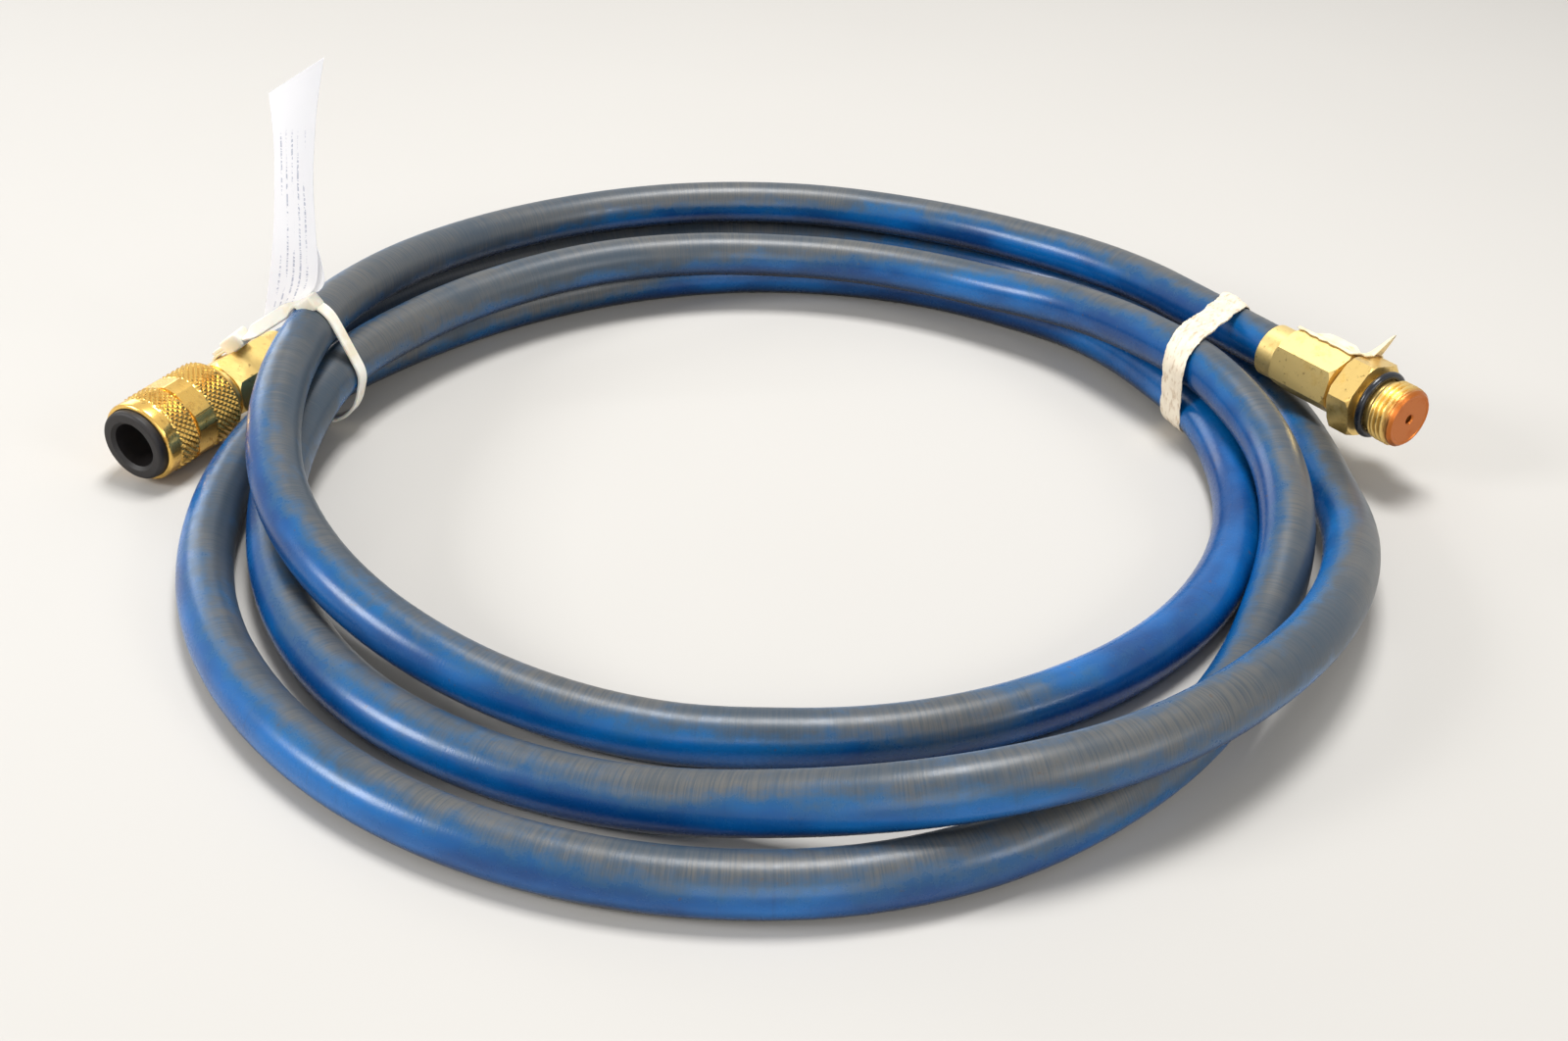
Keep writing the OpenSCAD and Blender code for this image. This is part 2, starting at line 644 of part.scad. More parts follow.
module paper_tag() {
    right = tag_edge(1);
    left = tag_edge(-1);
    tip = tag_mid(1) + [-tag_w / 2 - 5, tag_tip];
    color([0.92, 0.93, 0.96]) {
        translate(-(tag_back + tag_t / 2) * tie_normal) across(tie_angle, tag_t)
            polygon(concat(right, [tip], [for (k = [tag_steps : -1 : 0]) left[k]]));
        translate(-(tag_back + tag_t - hem_depth / 2) * tie_normal)
            across(tie_angle, hem_depth) translate(tag_foot) rotate(span_angle)
                translate([-hem_w / 2, -tag_t - seat_gap]) square([hem_w, tag_t]);
    }
}

// The band's plane stands askew on the turns. It cuts each turn of the hose on
// one of the straights between the rings near the band.
band_turns = [0 : 3];
band_normal = heading(band_angle + band_skew + 90);
band_offset = section_at(band_angle)[0] * heading(band_angle) * band_normal;
function band_cut(turn, shift) =
    [for (m = [0 : 3])
        let (p = path[loop_rings * turn + m], q = path[loop_rings * turn + m + 1])
        let (t = (band_offset + shift - p * band_normal) / ((q - p) * band_normal))
        if (t >= 0 && t < 1) p + t * (q - p)][0];

// The turns run square to this angle where the band goes round them
band_square = 1.5 * ring_step;
module band_fill(r) {
    hull() for (turn = band_turns, shift = [-band_w / 2, band_w / 2])
        let (p = band_cut(turn, shift))
        translate([p * heading(band_square), p[2]]) circle(r = r, $fn = 32);
}

module tape_band() {
    color([0.93, 0.86, 0.74]) intersection() {
        across(band_square, coil_r) difference() {
            band_fill(cover_r + band_gap + band_t);
            band_fill(cover_r + band_gap);
        }
        translate(coil_at + band_offset * band_normal)
            rotate([0, 0, band_angle + band_skew])
            cube([3 * coil_r, band_w, 2 * coil_r], center = true);
    }
}

// Both hexagons of the threaded end, grown outwards by the given amount
module brass_top(grow, step_back) {
    rotate([0, 0, male_socket_turn])
        cylinder(r = (socket_af / 2 + grow) / cos(30), h = neck_end, $fn = 6);
    translate([0, 0, neck_end - step_back]) rotate([0, 0, wrench_turn])
        cylinder(r = (wrench_af / 2 + grow) / cos(30), h = wrench_length + step_back, $fn = 6);
}

// The tape lies on the far top corner of both hexagons. Its patch is cut out
// along one direction, and its edge stands up along the other.
patch_turn = -32;
ridge_at = 148;
function hex_r(af, angle) = af / 2 / cos(angle - 60 * floor(angle / 60) - 30);

module torn_tape() {
    tape_start = socket_length - tape_l;
    tape_end = neck_end + tape_lap;
    w = tape_w;
    l = tape_l;
    low = hex_r(socket_af + 2 * tape_gap + tape_t, ridge_at - male_socket_turn);
    high = hex_r(wrench_af + 2 * tape_gap + tape_t, ridge_at - wrench_turn);
    lap_start = neck_end - tape_gap - tape_t / 2;
    color([0.94, 0.88, 0.74]) on_male() {
        difference() {
            intersection() {
                brass_top(tape_gap + tape_t, tape_gap + tape_t);
                rotate([0, -90, patch_turn]) linear_extrude(wrench_af)
                    translate([tape_start, 0])
                    polygon([[0, 0.3 * w], [0.05 * l, 0], [0.14 * l, -0.2 * w],
                        [0.28 * l, -0.45 * w], [0.48 * l, -0.4 * w], [0.76 * l, -0.5 * w],
                        [0.9 * l, -0.42 * w], [l + neck_length, -0.3 * w],
                        [l + neck_length + tape_lap, -0.2 * w],
                        [l + neck_length + tape_lap, 0.15 * w],
                        [l + neck_length, 0.5 * w], [0.8 * l, 0.45 * w],
                        [0.38 * l, 0.55 * w], [0.09 * l, 0.45 * w]]);
            }
            brass_top(tape_gap, tape_gap);
        }
        rotate([90, 0, ridge_at]) linear_extrude(tape_t, center = true)
            polygon([[low, tape_start + 0.08 * l], [low + 0.35 * ridge_h, tape_start + 0.1 * l],
                [low + 0.65 * ridge_h, tape_start + 0.26 * l],
                [low + ridge_h, tape_start + 0.6 * l],
                [low + 0.95 * ridge_h, tape_start + 0.82 * l], [high + 1.2, lap_start - 2.5],
                [high + spike_h, lap_start + spike_reach],
                [high, tape_end - 0.7], [high, lap_start], [low, lap_start]]);
    }
}

hose_cover();
hose_liner();
male_socket();
male_insert();
male_o_ring();
coupling_socket();
coupling_stem();
swivel_nut();
thrust_washer();
snap_ring();
stem_o_ring();
rubber_bush();
backing_washer();
cable_tie();
paper_tag();
tape_band();
torn_tape();
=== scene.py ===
"""Looks of a coiled air hose.

The rubber hose, the knurled coupling, the threaded insert, the cable tie, the
paper tag and both tapes are modelled here in full detail. The remaining brass,
rubber and steel parts are the CAD nodes with their own finishes. Sizes in the
classes are in millimetres and degrees, and meshes are made in metres.
"""

from __future__ import annotations

import json
import logging
import math
from collections.abc import Callable, Sequence
from dataclasses import dataclass
from enum import Enum

import bmesh
import bpy
from mathutils import Matrix, Vector, noise

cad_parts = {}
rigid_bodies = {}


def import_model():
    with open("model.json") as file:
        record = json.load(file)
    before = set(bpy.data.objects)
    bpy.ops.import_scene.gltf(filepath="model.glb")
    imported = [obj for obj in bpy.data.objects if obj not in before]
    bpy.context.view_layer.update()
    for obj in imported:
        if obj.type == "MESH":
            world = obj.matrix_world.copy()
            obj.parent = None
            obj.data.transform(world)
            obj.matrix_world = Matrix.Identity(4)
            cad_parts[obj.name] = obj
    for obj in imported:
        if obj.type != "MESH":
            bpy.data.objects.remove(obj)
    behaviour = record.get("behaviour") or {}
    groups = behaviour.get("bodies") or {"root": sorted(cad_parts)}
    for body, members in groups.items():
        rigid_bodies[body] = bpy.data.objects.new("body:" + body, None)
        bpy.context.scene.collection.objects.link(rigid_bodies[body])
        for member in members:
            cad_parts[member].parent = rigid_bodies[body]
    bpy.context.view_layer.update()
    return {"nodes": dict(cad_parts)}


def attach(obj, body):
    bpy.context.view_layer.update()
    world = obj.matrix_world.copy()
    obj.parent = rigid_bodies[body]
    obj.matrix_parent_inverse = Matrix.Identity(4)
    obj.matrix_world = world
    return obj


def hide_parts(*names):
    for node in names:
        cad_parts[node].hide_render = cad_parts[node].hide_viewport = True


LOG = logging.getLogger("air_hose")
MM = 0.001
Colour = tuple[float, float, float, float]
Triple = tuple[float, float, float]
Socket = bpy.types.NodeSocket
Value = float | Socket

# Where something goes from none to all: a low and a high end.
Span = tuple[float, float]

# A relief's strength from 0 to 1 and its depth in metres.
Depth = tuple[float, float]

# The radii round one ring of a part, and the ring's place along the part's axis.
Ring = tuple[list[float], float]


class Body(Enum):
    """The CAD bodies that pieces ride on."""

    HOSE = "hose"
    NUT = "nut"


class Slot(Enum):
    """The record's material slots."""

    HOSE_COVER = "hose_cover"
    BRASS = "brass"
    KNURLED_BRASS = "knurled_brass"
    TIE = "tie"
    TAG = "tag"
    TAPE = "tape"


def shade(red: int, green: int, blue: int) -> Colour:
    """A linear colour from display values.

    Args:
        red: Red from 0 to 255.
        green: Green from 0 to 255.
        blue: Blue from 0 to 255.

    Returns:
        The linear colour with full alpha.
    """

    def linear(value: int) -> float:
        """One channel, from display to linear."""
        v = value / 255
        return v / 12.92 if v <= 0.04045 else ((v + 0.055) / 1.055) ** 2.4

    return (linear(red), linear(green), linear(blue), 1.0)


def smooth(low: float, high: float, value: float) -> float:
    """A smooth step from 0 at low to 1 at high."""
    t = max(0.0, min(1.0, (value - low) / (high - low)))
    return t * t * (3 - 2 * t)


# ---------------------------------------------------------------- finishes


@dataclass(frozen=True)
class Grain:
    """A noise pattern: features per unit, octaves, their roughness and its stretch."""

    scale: float
    detail: float = 4.0
    rough: float = 0.55
    stretch: Triple | None = None


class Wiring:
    """Wires the nodes of one material, with its shader ready to feed."""

    def __init__(self, name: str) -> None:
        """Starts an empty material.

        Args:
            name: The material's name.
        """
        self.material = bpy.data.materials.new(name)
        self.material.use_nodes = True
        self.nodes = self.material.node_tree.nodes
        self.nodes.clear()
        self.shader = self.nodes.new("ShaderNodeBsdfPrincipled")
        self.output = self.nodes.new("ShaderNodeOutputMaterial")
        self.link(self.shader.outputs["BSDF"], self.output.inputs["Surface"])
        coordinates = self.nodes.new("ShaderNodeTexCoord")
        self.uv = coordinates.outputs["UV"]
        self.place = coordinates.outputs["Object"]

    def link(self, source: Socket, target: Socket) -> None:
        """Joins two sockets."""
        self.material.node_tree.links.new(source, target)

    def feed(self, target: Socket, value: Value | Colour) -> None:
        """Gives a socket a link or a plain value.

        Args:
            target: The input socket.
            value: Another node's output, or the value itself.
        """
        if isinstance(value, bpy.types.NodeSocket):
            self.link(value, target)
        else:
            target.default_value = value

    def surface(self, **inputs: Value | Colour) -> None:
        """Feeds the shader's inputs, which are named with _ for each space."""
        for name, value in inputs.items():
            self.feed(self.shader.inputs[name.replace("_", " ")], value)

    def math(self, operation: str, a: Value, b: Value = 0.0) -> Socket:
        """One arithmetic step.

        Args:
            operation: The operation's name.
            a: First value.
            b: Second value.

        Returns:
            The result's socket.
        """
        node = self.nodes.new("ShaderNodeMath")
        node.operation = operation
        self.feed(node.inputs[0], a)
        self.feed(node.inputs[1], b)
        return node.outputs[0]

    def times(self, a: Value, b: Value) -> Socket:
        """One value times another."""
        return self.math("MULTIPLY", a, b)

    def plus(self, a: Value, b: Value) -> Socket:
        """The sum of two values."""
        return self.math("ADD", a, b)

    def minus(self, a: Value, b: Value) -> Socket:
        """One value less another."""
        return self.math("SUBTRACT", a, b)

    def step(self, value: Value, span: Span) -> Socket:
        """A smooth step of a value.

        Args:
            value: The value.
            span: Where the step is 0 and where it is 1.

        Returns:
            The step's socket.
        """
        node = self.nodes.new("ShaderNodeMapRange")
        node.interpolation_type = "SMOOTHSTEP"
        self.feed(node.inputs["Value"], value)
        node.inputs["From Min"].default_value, node.inputs["From Max"].default_value = span
        return node.outputs["Result"]

    def window(self, value: Value, rise: Span, fall: Span) -> Socket:
        """A step up through one span and down again through another."""
        return self.times(self.step(value, rise), self.minus(1.0, self.step(value, fall)))

    def mix(self, share: Value, a: Socket | Colour, b: Socket | Colour) -> Socket:
        """A blend of two colours.

        Args:
            share: 0 for a, 1 for b.
            a: First colour.
            b: Second colour.

        Returns:
            The blended colour's socket.
        """
        node = self.nodes.new("ShaderNodeMix")
        node.data_type = "RGBA"
        self.feed(node.inputs[0], share)
        self.feed(node.inputs[6], a)
        self.feed(node.inputs[7], b)
        return node.outputs[2]

    def tint(self, under: Socket | Colour, over: Socket | Colour, where: Socket,
             strength: float) -> Socket:
        """A colour that another one covers, where it is to and as strongly as given."""
        return self.mix(self.times(where, strength), under, over)

    def turned(self, source: Socket, turn: float) -> Socket:
        """Coordinates turned round Z.

        Args:
            source: The coordinates.
            turn: The angle in radians.

        Returns:
            The turned coordinates' socket.
        """
        node = self.nodes.new("ShaderNodeMapping")
        self.link(source, node.inputs["Vector"])
        node.inputs["Rotation"].default_value = (0.0, 0.0, turn)
        return node.outputs[0]

    def grain(self, source: Socket, grain: Grain) -> Socket:
        """Noise over the given coordinates.

        Args:
            source: The coordinates.
            grain: The noise's pattern.

        Returns:
            The noise's value socket.
        """
        if grain.stretch:
            stretched = self.nodes.new("ShaderNodeMapping")
            self.link(source, stretched.inputs["Vector"])
            stretched.inputs["Scale"].default_value = grain.stretch
            source = stretched.outputs[0]
        node = self.nodes.new("ShaderNodeTexNoise")
        self.link(source, node.inputs["Vector"])
        node.inputs["Scale"].default_value = grain.scale
        node.inputs["Detail"].default_value = grain.detail
        node.inputs["Roughness"].default_value = grain.rough
        return node.outputs[0]

    def split(self, source: Socket) -> tuple[Socket, Socket, Socket]:
        """Takes a vector apart.

        Args:
            source: The vector.

        Returns:
            The sockets of its three parts.
        """
        node = self.nodes.new("ShaderNodeSeparateXYZ")
        self.link(source, node.inputs[0])
        return node.outputs[0], node.outputs[1], node.outputs[2]

    def relief(self, height: Socket, depth: Depth, under: Socket | None = None) -> Socket:
        """A bump from a height.

        Args:
            height: The height's socket.
            depth: The relief's strength and depth.
            under: The bump below this one.

        Returns:
            The normal's socket.
        """
        node = self.nodes.new("ShaderNodeBump")
        node.inputs["Strength"].default_value, node.inputs["Distance"].default_value = depth
        self.link(height, node.inputs["Height"])
        if under is not None:
            self.link(under, node.inputs["Normal"])
        return node.outputs[0]


@dataclass(frozen=True)
class HoseRubber:
    """Blue rubber, rubbed grey along its upper side, with painted shade darkening its underside.

    Its patterns are scaled to the hose's girth, along the hose and round it.
    """

    blue: Colour = shade(0, 100, 172)
    deep_blue: Colour = shade(0, 60, 118)
    haze: Colour = shade(36, 88, 118)
    worn: Colour = shade(94, 90, 82)
    worn_dark: Colour = shade(42, 56, 66)
    # Dark colour of the painted shade on the underside, and of the grime streaks.
    grime_and_shade: Colour = shade(24, 30, 42)
    speck: Colour = shade(84, 66, 50)

    clouds: Grain = Grain(2.1, 3.0, stretch=(0.4, 0.9, 1.0))
    patches: Grain = Grain(1.5, 5.0, 0.6, (0.8, 1.4, 1.0))
    flecks: Grain = Grain(7.0, 6.0, 0.7)
    specks: Grain = Grain(22.0, 3.0)
    streaks: Grain = Grain(1.0, 3.0, stretch=(26.0, 1.2, 1.0))
    ribs: Grain = Grain(1.0, 2.0, 0.5, (96.0, 3.0, 1.0))
    cloth: Grain = Grain(1.0, 1.0, 0.5, (134.4, 60.0, 1.0))

    blue_from: Span = (0.36, 0.64)
    hazy_from: Span = (-0.1, 0.8)
    haze_strength: float = 0.7
    worn_from: Span = (0.35, 1.05)
    worn_strength: float = 0.88
    patch_height: float = 1.3
    fleck_height: float = 1.1
    dark_ribs_from: Span = (0.36, 0.72)
    dark_clouds_from: Span = (0.42, 0.62)
    dark_strength: float = 0.6
    patch_on_ribs: float = 0.5
    # Where the painted shade on the underside comes in, and how much the patches shift it.
    shade_below_from: Span = (-0.05, 0.85)
    patch_in_shade: float = 0.6
    specks_from: Span = (0.66, 0.74)
    specks_up_from: Span = (-0.2, 0.4)
    speck_strength: float = 0.5
    streaks_from: Span = (0.6, 0.82)
    streak_strength: float = 0.22

    roughness: float = 0.27
    worn_roughness: float = 0.1
    fleck_roughness: float = 0.2
    shine: float = 0.45
    cloth_depth: Depth = (0.2, 0.00006)
    rib_depth: Depth = (0.22, 0.0001)

    def material(self) -> bpy.types.Material:
        """Makes the finish's material, which reads the hose's own UV map and wear.

        Returns:
            The new material.
        """
        w = Wiring("hose_rubber")
        _, v, _ = w.split(w.uv)
        up = w.math("COSINE", w.times(w.minus(v, 0.5), 2 * math.pi))
        wear = w.nodes.new("ShaderNodeAttribute")
        wear.attribute_name = "wear"
        patch = w.minus(w.grain(w.uv, self.patches), 0.5)
        fleck = w.minus(w.grain(w.uv, self.flecks), 0.5)
        uneven = w.plus(w.times(patch, self.patch_height), w.times(fleck, self.fleck_height))
        height = w.plus(wear.outputs["Fac"], uneven)
        worn = w.step(height, self.worn_from)
        cloud = w.grain(w.uv, self.clouds)
        ribs = w.grain(w.uv, self.ribs)

        blue = w.mix(w.step(cloud, self.blue_from), self.deep_blue, self.blue)
        blue = w.tint(blue, self.haze, w.step(height, self.hazy_from), self.haze_strength)
        shadow = w.step(w.plus(ribs, w.times(patch, self.patch_on_ribs)), self.dark_ribs_from)
        grey = w.tint(self.worn, self.worn_dark, shadow, self.dark_strength)
        grey = w.tint(grey, self.worn_dark, w.step(cloud, self.dark_clouds_from),
                      self.dark_strength)
        colour = w.tint(blue, grey, worn, self.worn_strength)
        # Painted shade: the colour darkens towards the underside of the tube.
        low = w.minus(w.times(patch, self.patch_in_shade), up)
        colour = w.mix(w.step(low, self.shade_below_from), colour, self.grime_and_shade)
        specks = w.times(w.step(w.grain(w.uv, self.specks), self.specks_from),
                         w.step(up, self.specks_up_from))
        colour = w.tint(colour, self.speck, specks, self.speck_strength)
        streaks = w.step(w.grain(w.uv, self.streaks), self.streaks_from)
        colour = w.tint(colour, self.grime_and_shade, streaks, self.streak_strength)

        rough = w.plus(w.times(worn, self.worn_roughness),
                       w.times(fleck, self.fleck_roughness))
        normal = w.relief(ribs, self.rib_depth,
                          w.relief(w.grain(w.uv, self.cloth), self.cloth_depth))
        w.surface(Base_Color=colour, Roughness=w.plus(rough, self.roughness), Normal=normal,
                  Specular_IOR_Level=self.shine)
        return w.material


@dataclass(frozen=True)
class Brass:
    """Turned and milled brass with a thin tarnish, and a painted orange reflection past a place
    on its axis.
    """

    name: str
    axis_turn: float
    bright: Colour = shade(240, 206, 128)
    tarnish: Colour = shade(204, 166, 88)
    stain: Colour = shade(128, 92, 50)
    # Painted reflection: the orange laid on the face of the threaded end's nose.
    reflected_orange: Colour = shade(184, 92, 28)
    metallic: float = 0.85
    roughness: float = 0.23
    reflected_from: float | None = None

    blotches: Grain = Grain(190.0, 5.0, 0.65)
    spots: Grain = Grain(620.0, 3.0, 0.6)
    tool_marks: Grain = Grain(1.0, 3.0, 0.6, (2600.0, 60.0, 60.0))
    dull_from: Span = (0.5, 0.732)
    stained_from: Span = (0.6, 0.74)
    stain_strength: float = 0.7
    # How sharply the painted reflection sets in, and how strongly it covers the brass.
    reflection_fade: float = 0.003
    reflection_strength: float = 0.92
    dull_roughness: float = 0.16
    mark_roughness: float = 0.14
    mark_depth: Depth = (0.5, 0.00002)

    def material(self) -> bpy.types.Material:
        """Makes the finish's material, with tool marks across the part's axis.

        Returns:
            The new material.
        """
        w = Wiring(self.name)
        along = w.turned(w.place, -self.axis_turn)
        marks = w.grain(along, self.tool_marks)
        dull = w.step(w.grain(w.place, self.blotches), self.dull_from)
        stained = w.step(w.grain(w.place, self.spots), self.stained_from)
        colour = w.mix(dull, self.bright, self.tarnish)
        colour = w.tint(colour, self.stain, stained, self.stain_strength)
        # Painted reflection: orange over the brass past the given place on the axis.
        if self.reflected_from is not None:
            reflected = w.step(w.split(along)[0], (self.reflected_from - self.reflection_fade, self.reflected_from))
            colour = w.tint(colour, self.reflected_orange, reflected, self.reflection_strength)
        rough = w.plus(w.times(dull, self.dull_roughness), w.times(marks, self.mark_roughness))
        w.surface(Base_Color=colour, Metallic=self.metallic,
                  Roughness=w.plus(rough, self.roughness),
                  Normal=w.relief(marks, self.mark_depth))
        return w.material


@dataclass(frozen=True)
class BlackRubber:
    """Moulded black rubber, dusty or shiny."""

    name: str
    colour: Colour = shade(22, 18, 18)
    dust: Colour = shade(56, 48, 45)
    dusty: float = 0.3
    roughness: float = 0.55

    film: Grain = Grain(260.0, 5.0, 0.65)
    film_from: Span = (0.5, 0.75)
    film_roughness: float = 0.2
    pores: Grain = Grain(2400.0, 2.0)
    pore_depth: Depth = (0.3, 0.00004)

    def material(self) -> bpy.types.Material:
        """Makes the finish's material.

        Returns:
            The new material.
        """
        w = Wiring(self.name)
        film = w.step(w.grain(w.place, self.film), self.film_from)
        w.surface(Base_Color=w.tint(self.colour, self.dust, film, self.dusty),
                  Roughness=w.plus(w.times(film, self.film_roughness), self.roughness),
                  Normal=w.relief(w.grain(w.place, self.pores), self.pore_depth))
        return w.material


@dataclass(frozen=True)
class Plating:
    """Plated steel of the small washers."""

    colour: Colour = shade(176, 176, 178)
    dark: Colour = shade(120, 118, 114)
    roughness: float = 0.28

    clouds: Grain = Grain(300.0, 5.0)
    clouds_from: Span = (0.4, 0.7)
    cloud_roughness: float = 0.15
    pits: Grain = Grain(1500.0, 2.0)
    pit_depth: Depth = (0.2, 0.00003)

    def material(self) -> bpy.types.Material:
        """Makes the finish's material.

        Returns:
            The new material.
        """
        w = Wiring("washer_steel")
        cloud = w.step(w.grain(w.place, self.clouds), self.clouds_from)
        w.surface(Base_Color=w.mix(cloud, self.colour, self.dark), Metallic=1.0,
                  Roughness=w.plus(w.times(cloud, self.cloud_roughness), self.roughness),
                  Normal=w.relief(w.grain(w.place, self.pits), self.pit_depth))
        return w.material


@dataclass(frozen=True)
class TiePlastic:
    """Milky plastic, yellowed a little and slightly see-through."""

    colour: Colour = shade(248, 245, 234)
    aged: Colour = shade(238, 228, 204)
    roughness: float = 0.3
    see_through: float = 0.2
    see_through_depth: float = 0.001

    clouds: Grain = Grain(120.0)
    clouds_from: Span = (0.42, 0.68)
    smears: Grain = Grain(900.0, 2.0)
    smear_roughness: float = 0.15
    scuffs: Grain = Grain(1100.0, 2.0)
    scuff_depth: Depth = (0.2, 0.00004)

    def material(self) -> bpy.types.Material:
        """Makes the finish's material.

        Returns:
            The new material.
        """
        w = Wiring("tie_plastic")
        cloud = w.step(w.grain(w.place, self.clouds), self.clouds_from)
        smear = w.times(w.grain(w.place, self.smears), self.smear_roughness)
        w.surface(Base_Color=w.mix(cloud, self.colour, self.aged),
                  Roughness=w.plus(smear, self.roughness),
                  Normal=w.relief(w.grain(w.place, self.scuffs), self.scuff_depth),
                  Subsurface_Weight=self.see_through, Subsurface_Scale=self.see_through_depth)
        return w.material


@dataclass(frozen=True)
class TagPaper:
    """White paper with faint rules of generic fine print along it.

    The print's spans are shares of the sheet's width and height.
    """

    colour: Colour = shade(250, 250, 254)
    ink: Colour = shade(132, 138, 172)
    ink_strength: float = 0.6
    roughness: float = 0.5

    rows: float = 7.0
    row_top: Span = (0.32, 0.42)
    row_bottom: Span = (0.6, 0.7)
    words: Grain = Grain(1.0, 2.0, stretch=(7.0, 120.0, 1.0))
    words_from: Span = (0.44, 0.54)
    passages: Grain = Grain(1.0, 2.0, stretch=(5.6, 3.2, 1.0))
    passages_from: Span = (0.4, 0.5)
    left_margin: Span = (0.16, 0.2)
    right_margin: Span = (0.82, 0.86)
    foot_margin: Span = (0.06, 0.1)
    head_margin: Span = (0.78, 0.84)

    fibres: Grain = Grain(900.0, 4.0, 0.7)
    fibre_roughness: float = 0.2
    fibre_depth: Depth = (0.25, 0.00005)
    creases: Grain = Grain(110.0, 2.0)
    crease_depth: Depth = (0.3, 0.0006)

    def material(self) -> bpy.types.Material:
        """Makes the finish's material, which reads the sheet's own UV map.

        Returns:
            The new material.
        """
        w = Wiring("tag_paper")
        across, along, _ = w.split(w.uv)
        row = w.window(w.math("FRACT", w.times(across, self.rows)), self.row_top,
                       self.row_bottom)
        words = w.times(w.step(w.grain(w.uv, self.words), self.words_from),
                        w.step(w.grain(w.uv, self.passages), self.passages_from))
        block = w.times(w.window(across, self.left_margin, self.right_margin),
                        w.window(along, self.foot_margin, self.head_margin))
        ink = w.times(w.times(row, words), block)
        fibre = w.grain(w.place, self.fibres)
        normal = w.relief(w.grain(w.place, self.creases), self.crease_depth,
                          w.relief(fibre, self.fibre_depth))
        w.surface(Base_Color=w.tint(self.colour, self.ink, ink, self.ink_strength),
                  Roughness=w.plus(w.times(fibre, self.fibre_roughness), self.roughness),
                  Normal=normal)
        return w.material


@dataclass(frozen=True)
class CreasedTape:
    """Cream crepe tape with creases along its length.

    The strands are counted across the tape, and the crepe's waves across and along.
    """

    name: str
    strands: Grain
    colour: Colour = shade(240, 228, 206)
    shadow: Colour = shade(196, 172, 144)
    roughness: float = 0.55

    strands_from: Span = (0.5, 0.66)
    strand_strength: float = 0.8
    strand_depth: Depth = (0.6, 0.0003)
    crepe: Grain = Grain(1.0, 2.0, stretch=(14.0, 130.0, 1.0))
    crepe_roughness: float = 0.15
    crepe_depth: Depth = (0.4, 0.00008)
    clouds: Grain = Grain(160.0)
    clouds_from: Span = (0.4, 0.7)
    cloud_strength: float = 0.3

    def material(self) -> bpy.types.Material:
        """Makes the finish's material, which reads the tape's own UV map.

        Returns:
            The new material.
        """
        w = Wiring(self.name)
        strand, crepe = w.grain(w.uv, self.strands), w.grain(w.uv, self.crepe)
        cloud = w.step(w.grain(w.place, self.clouds), self.clouds_from)
        colour = w.tint(self.colour, self.shadow, w.step(strand, self.strands_from),
                        self.strand_strength)
        w.surface(Base_Color=w.tint(colour, self.shadow, cloud, self.cloud_strength),
                  Roughness=w.plus(w.times(crepe, self.crepe_roughness), self.roughness),
                  Normal=w.relief(strand, self.strand_depth,
                                  w.relief(crepe, self.crepe_depth)))
        return w.material


@dataclass(frozen=True)
class PaleFloor:
    """Plain pale floor of the studio, which runs out into a backdrop of one tone."""

    colour: Colour = shade(202, 199, 194)
    shadow: Colour = shade(196, 193, 188)
    clouds: Grain = Grain(3.0, 3.0)
    roughness: float = 0.7
    backdrop: Colour = (1.0, 0.99, 0.97, 1.0)
    backdrop_level: float = 0.8
    fade: Span = (0.75, 1.5)

    def material(self) -> bpy.types.Material:
        """Makes the finish's material, which is seen to fade into the backdrop far out.

        Returns:
            The new material.
        """
        w = Wiring("pale_floor")
        cloud = w.grain(w.place, self.clouds)
        w.surface(Base_Color=w.mix(cloud, self.colour, self.shadow), Roughness=self.roughness)
        x, y, _ = w.split(w.place)
        distance = w.math("SQRT", w.plus(w.times(x, x), w.times(y, y)))
        rays = w.nodes.new("ShaderNodeLightPath")
        far = w.times(w.step(distance, self.fade), rays.outputs["Is Camera Ray"])
        glow = w.nodes.new("ShaderNodeEmission")
        glow.inputs["Color"].default_value = self.backdrop
        glow.inputs["Strength"].default_value = self.backdrop_level
        blend = w.nodes.new("ShaderNodeMixShader")
        w.link(far, blend.inputs[0])
        w.link(w.shader.outputs["BSDF"], blend.inputs[1])
        w.link(glow.outputs[0], blend.inputs[2])
        w.link(blend.outputs[0], w.output.inputs["Surface"])
        return w.material


# ------------------------------------------------------------- mesh makers


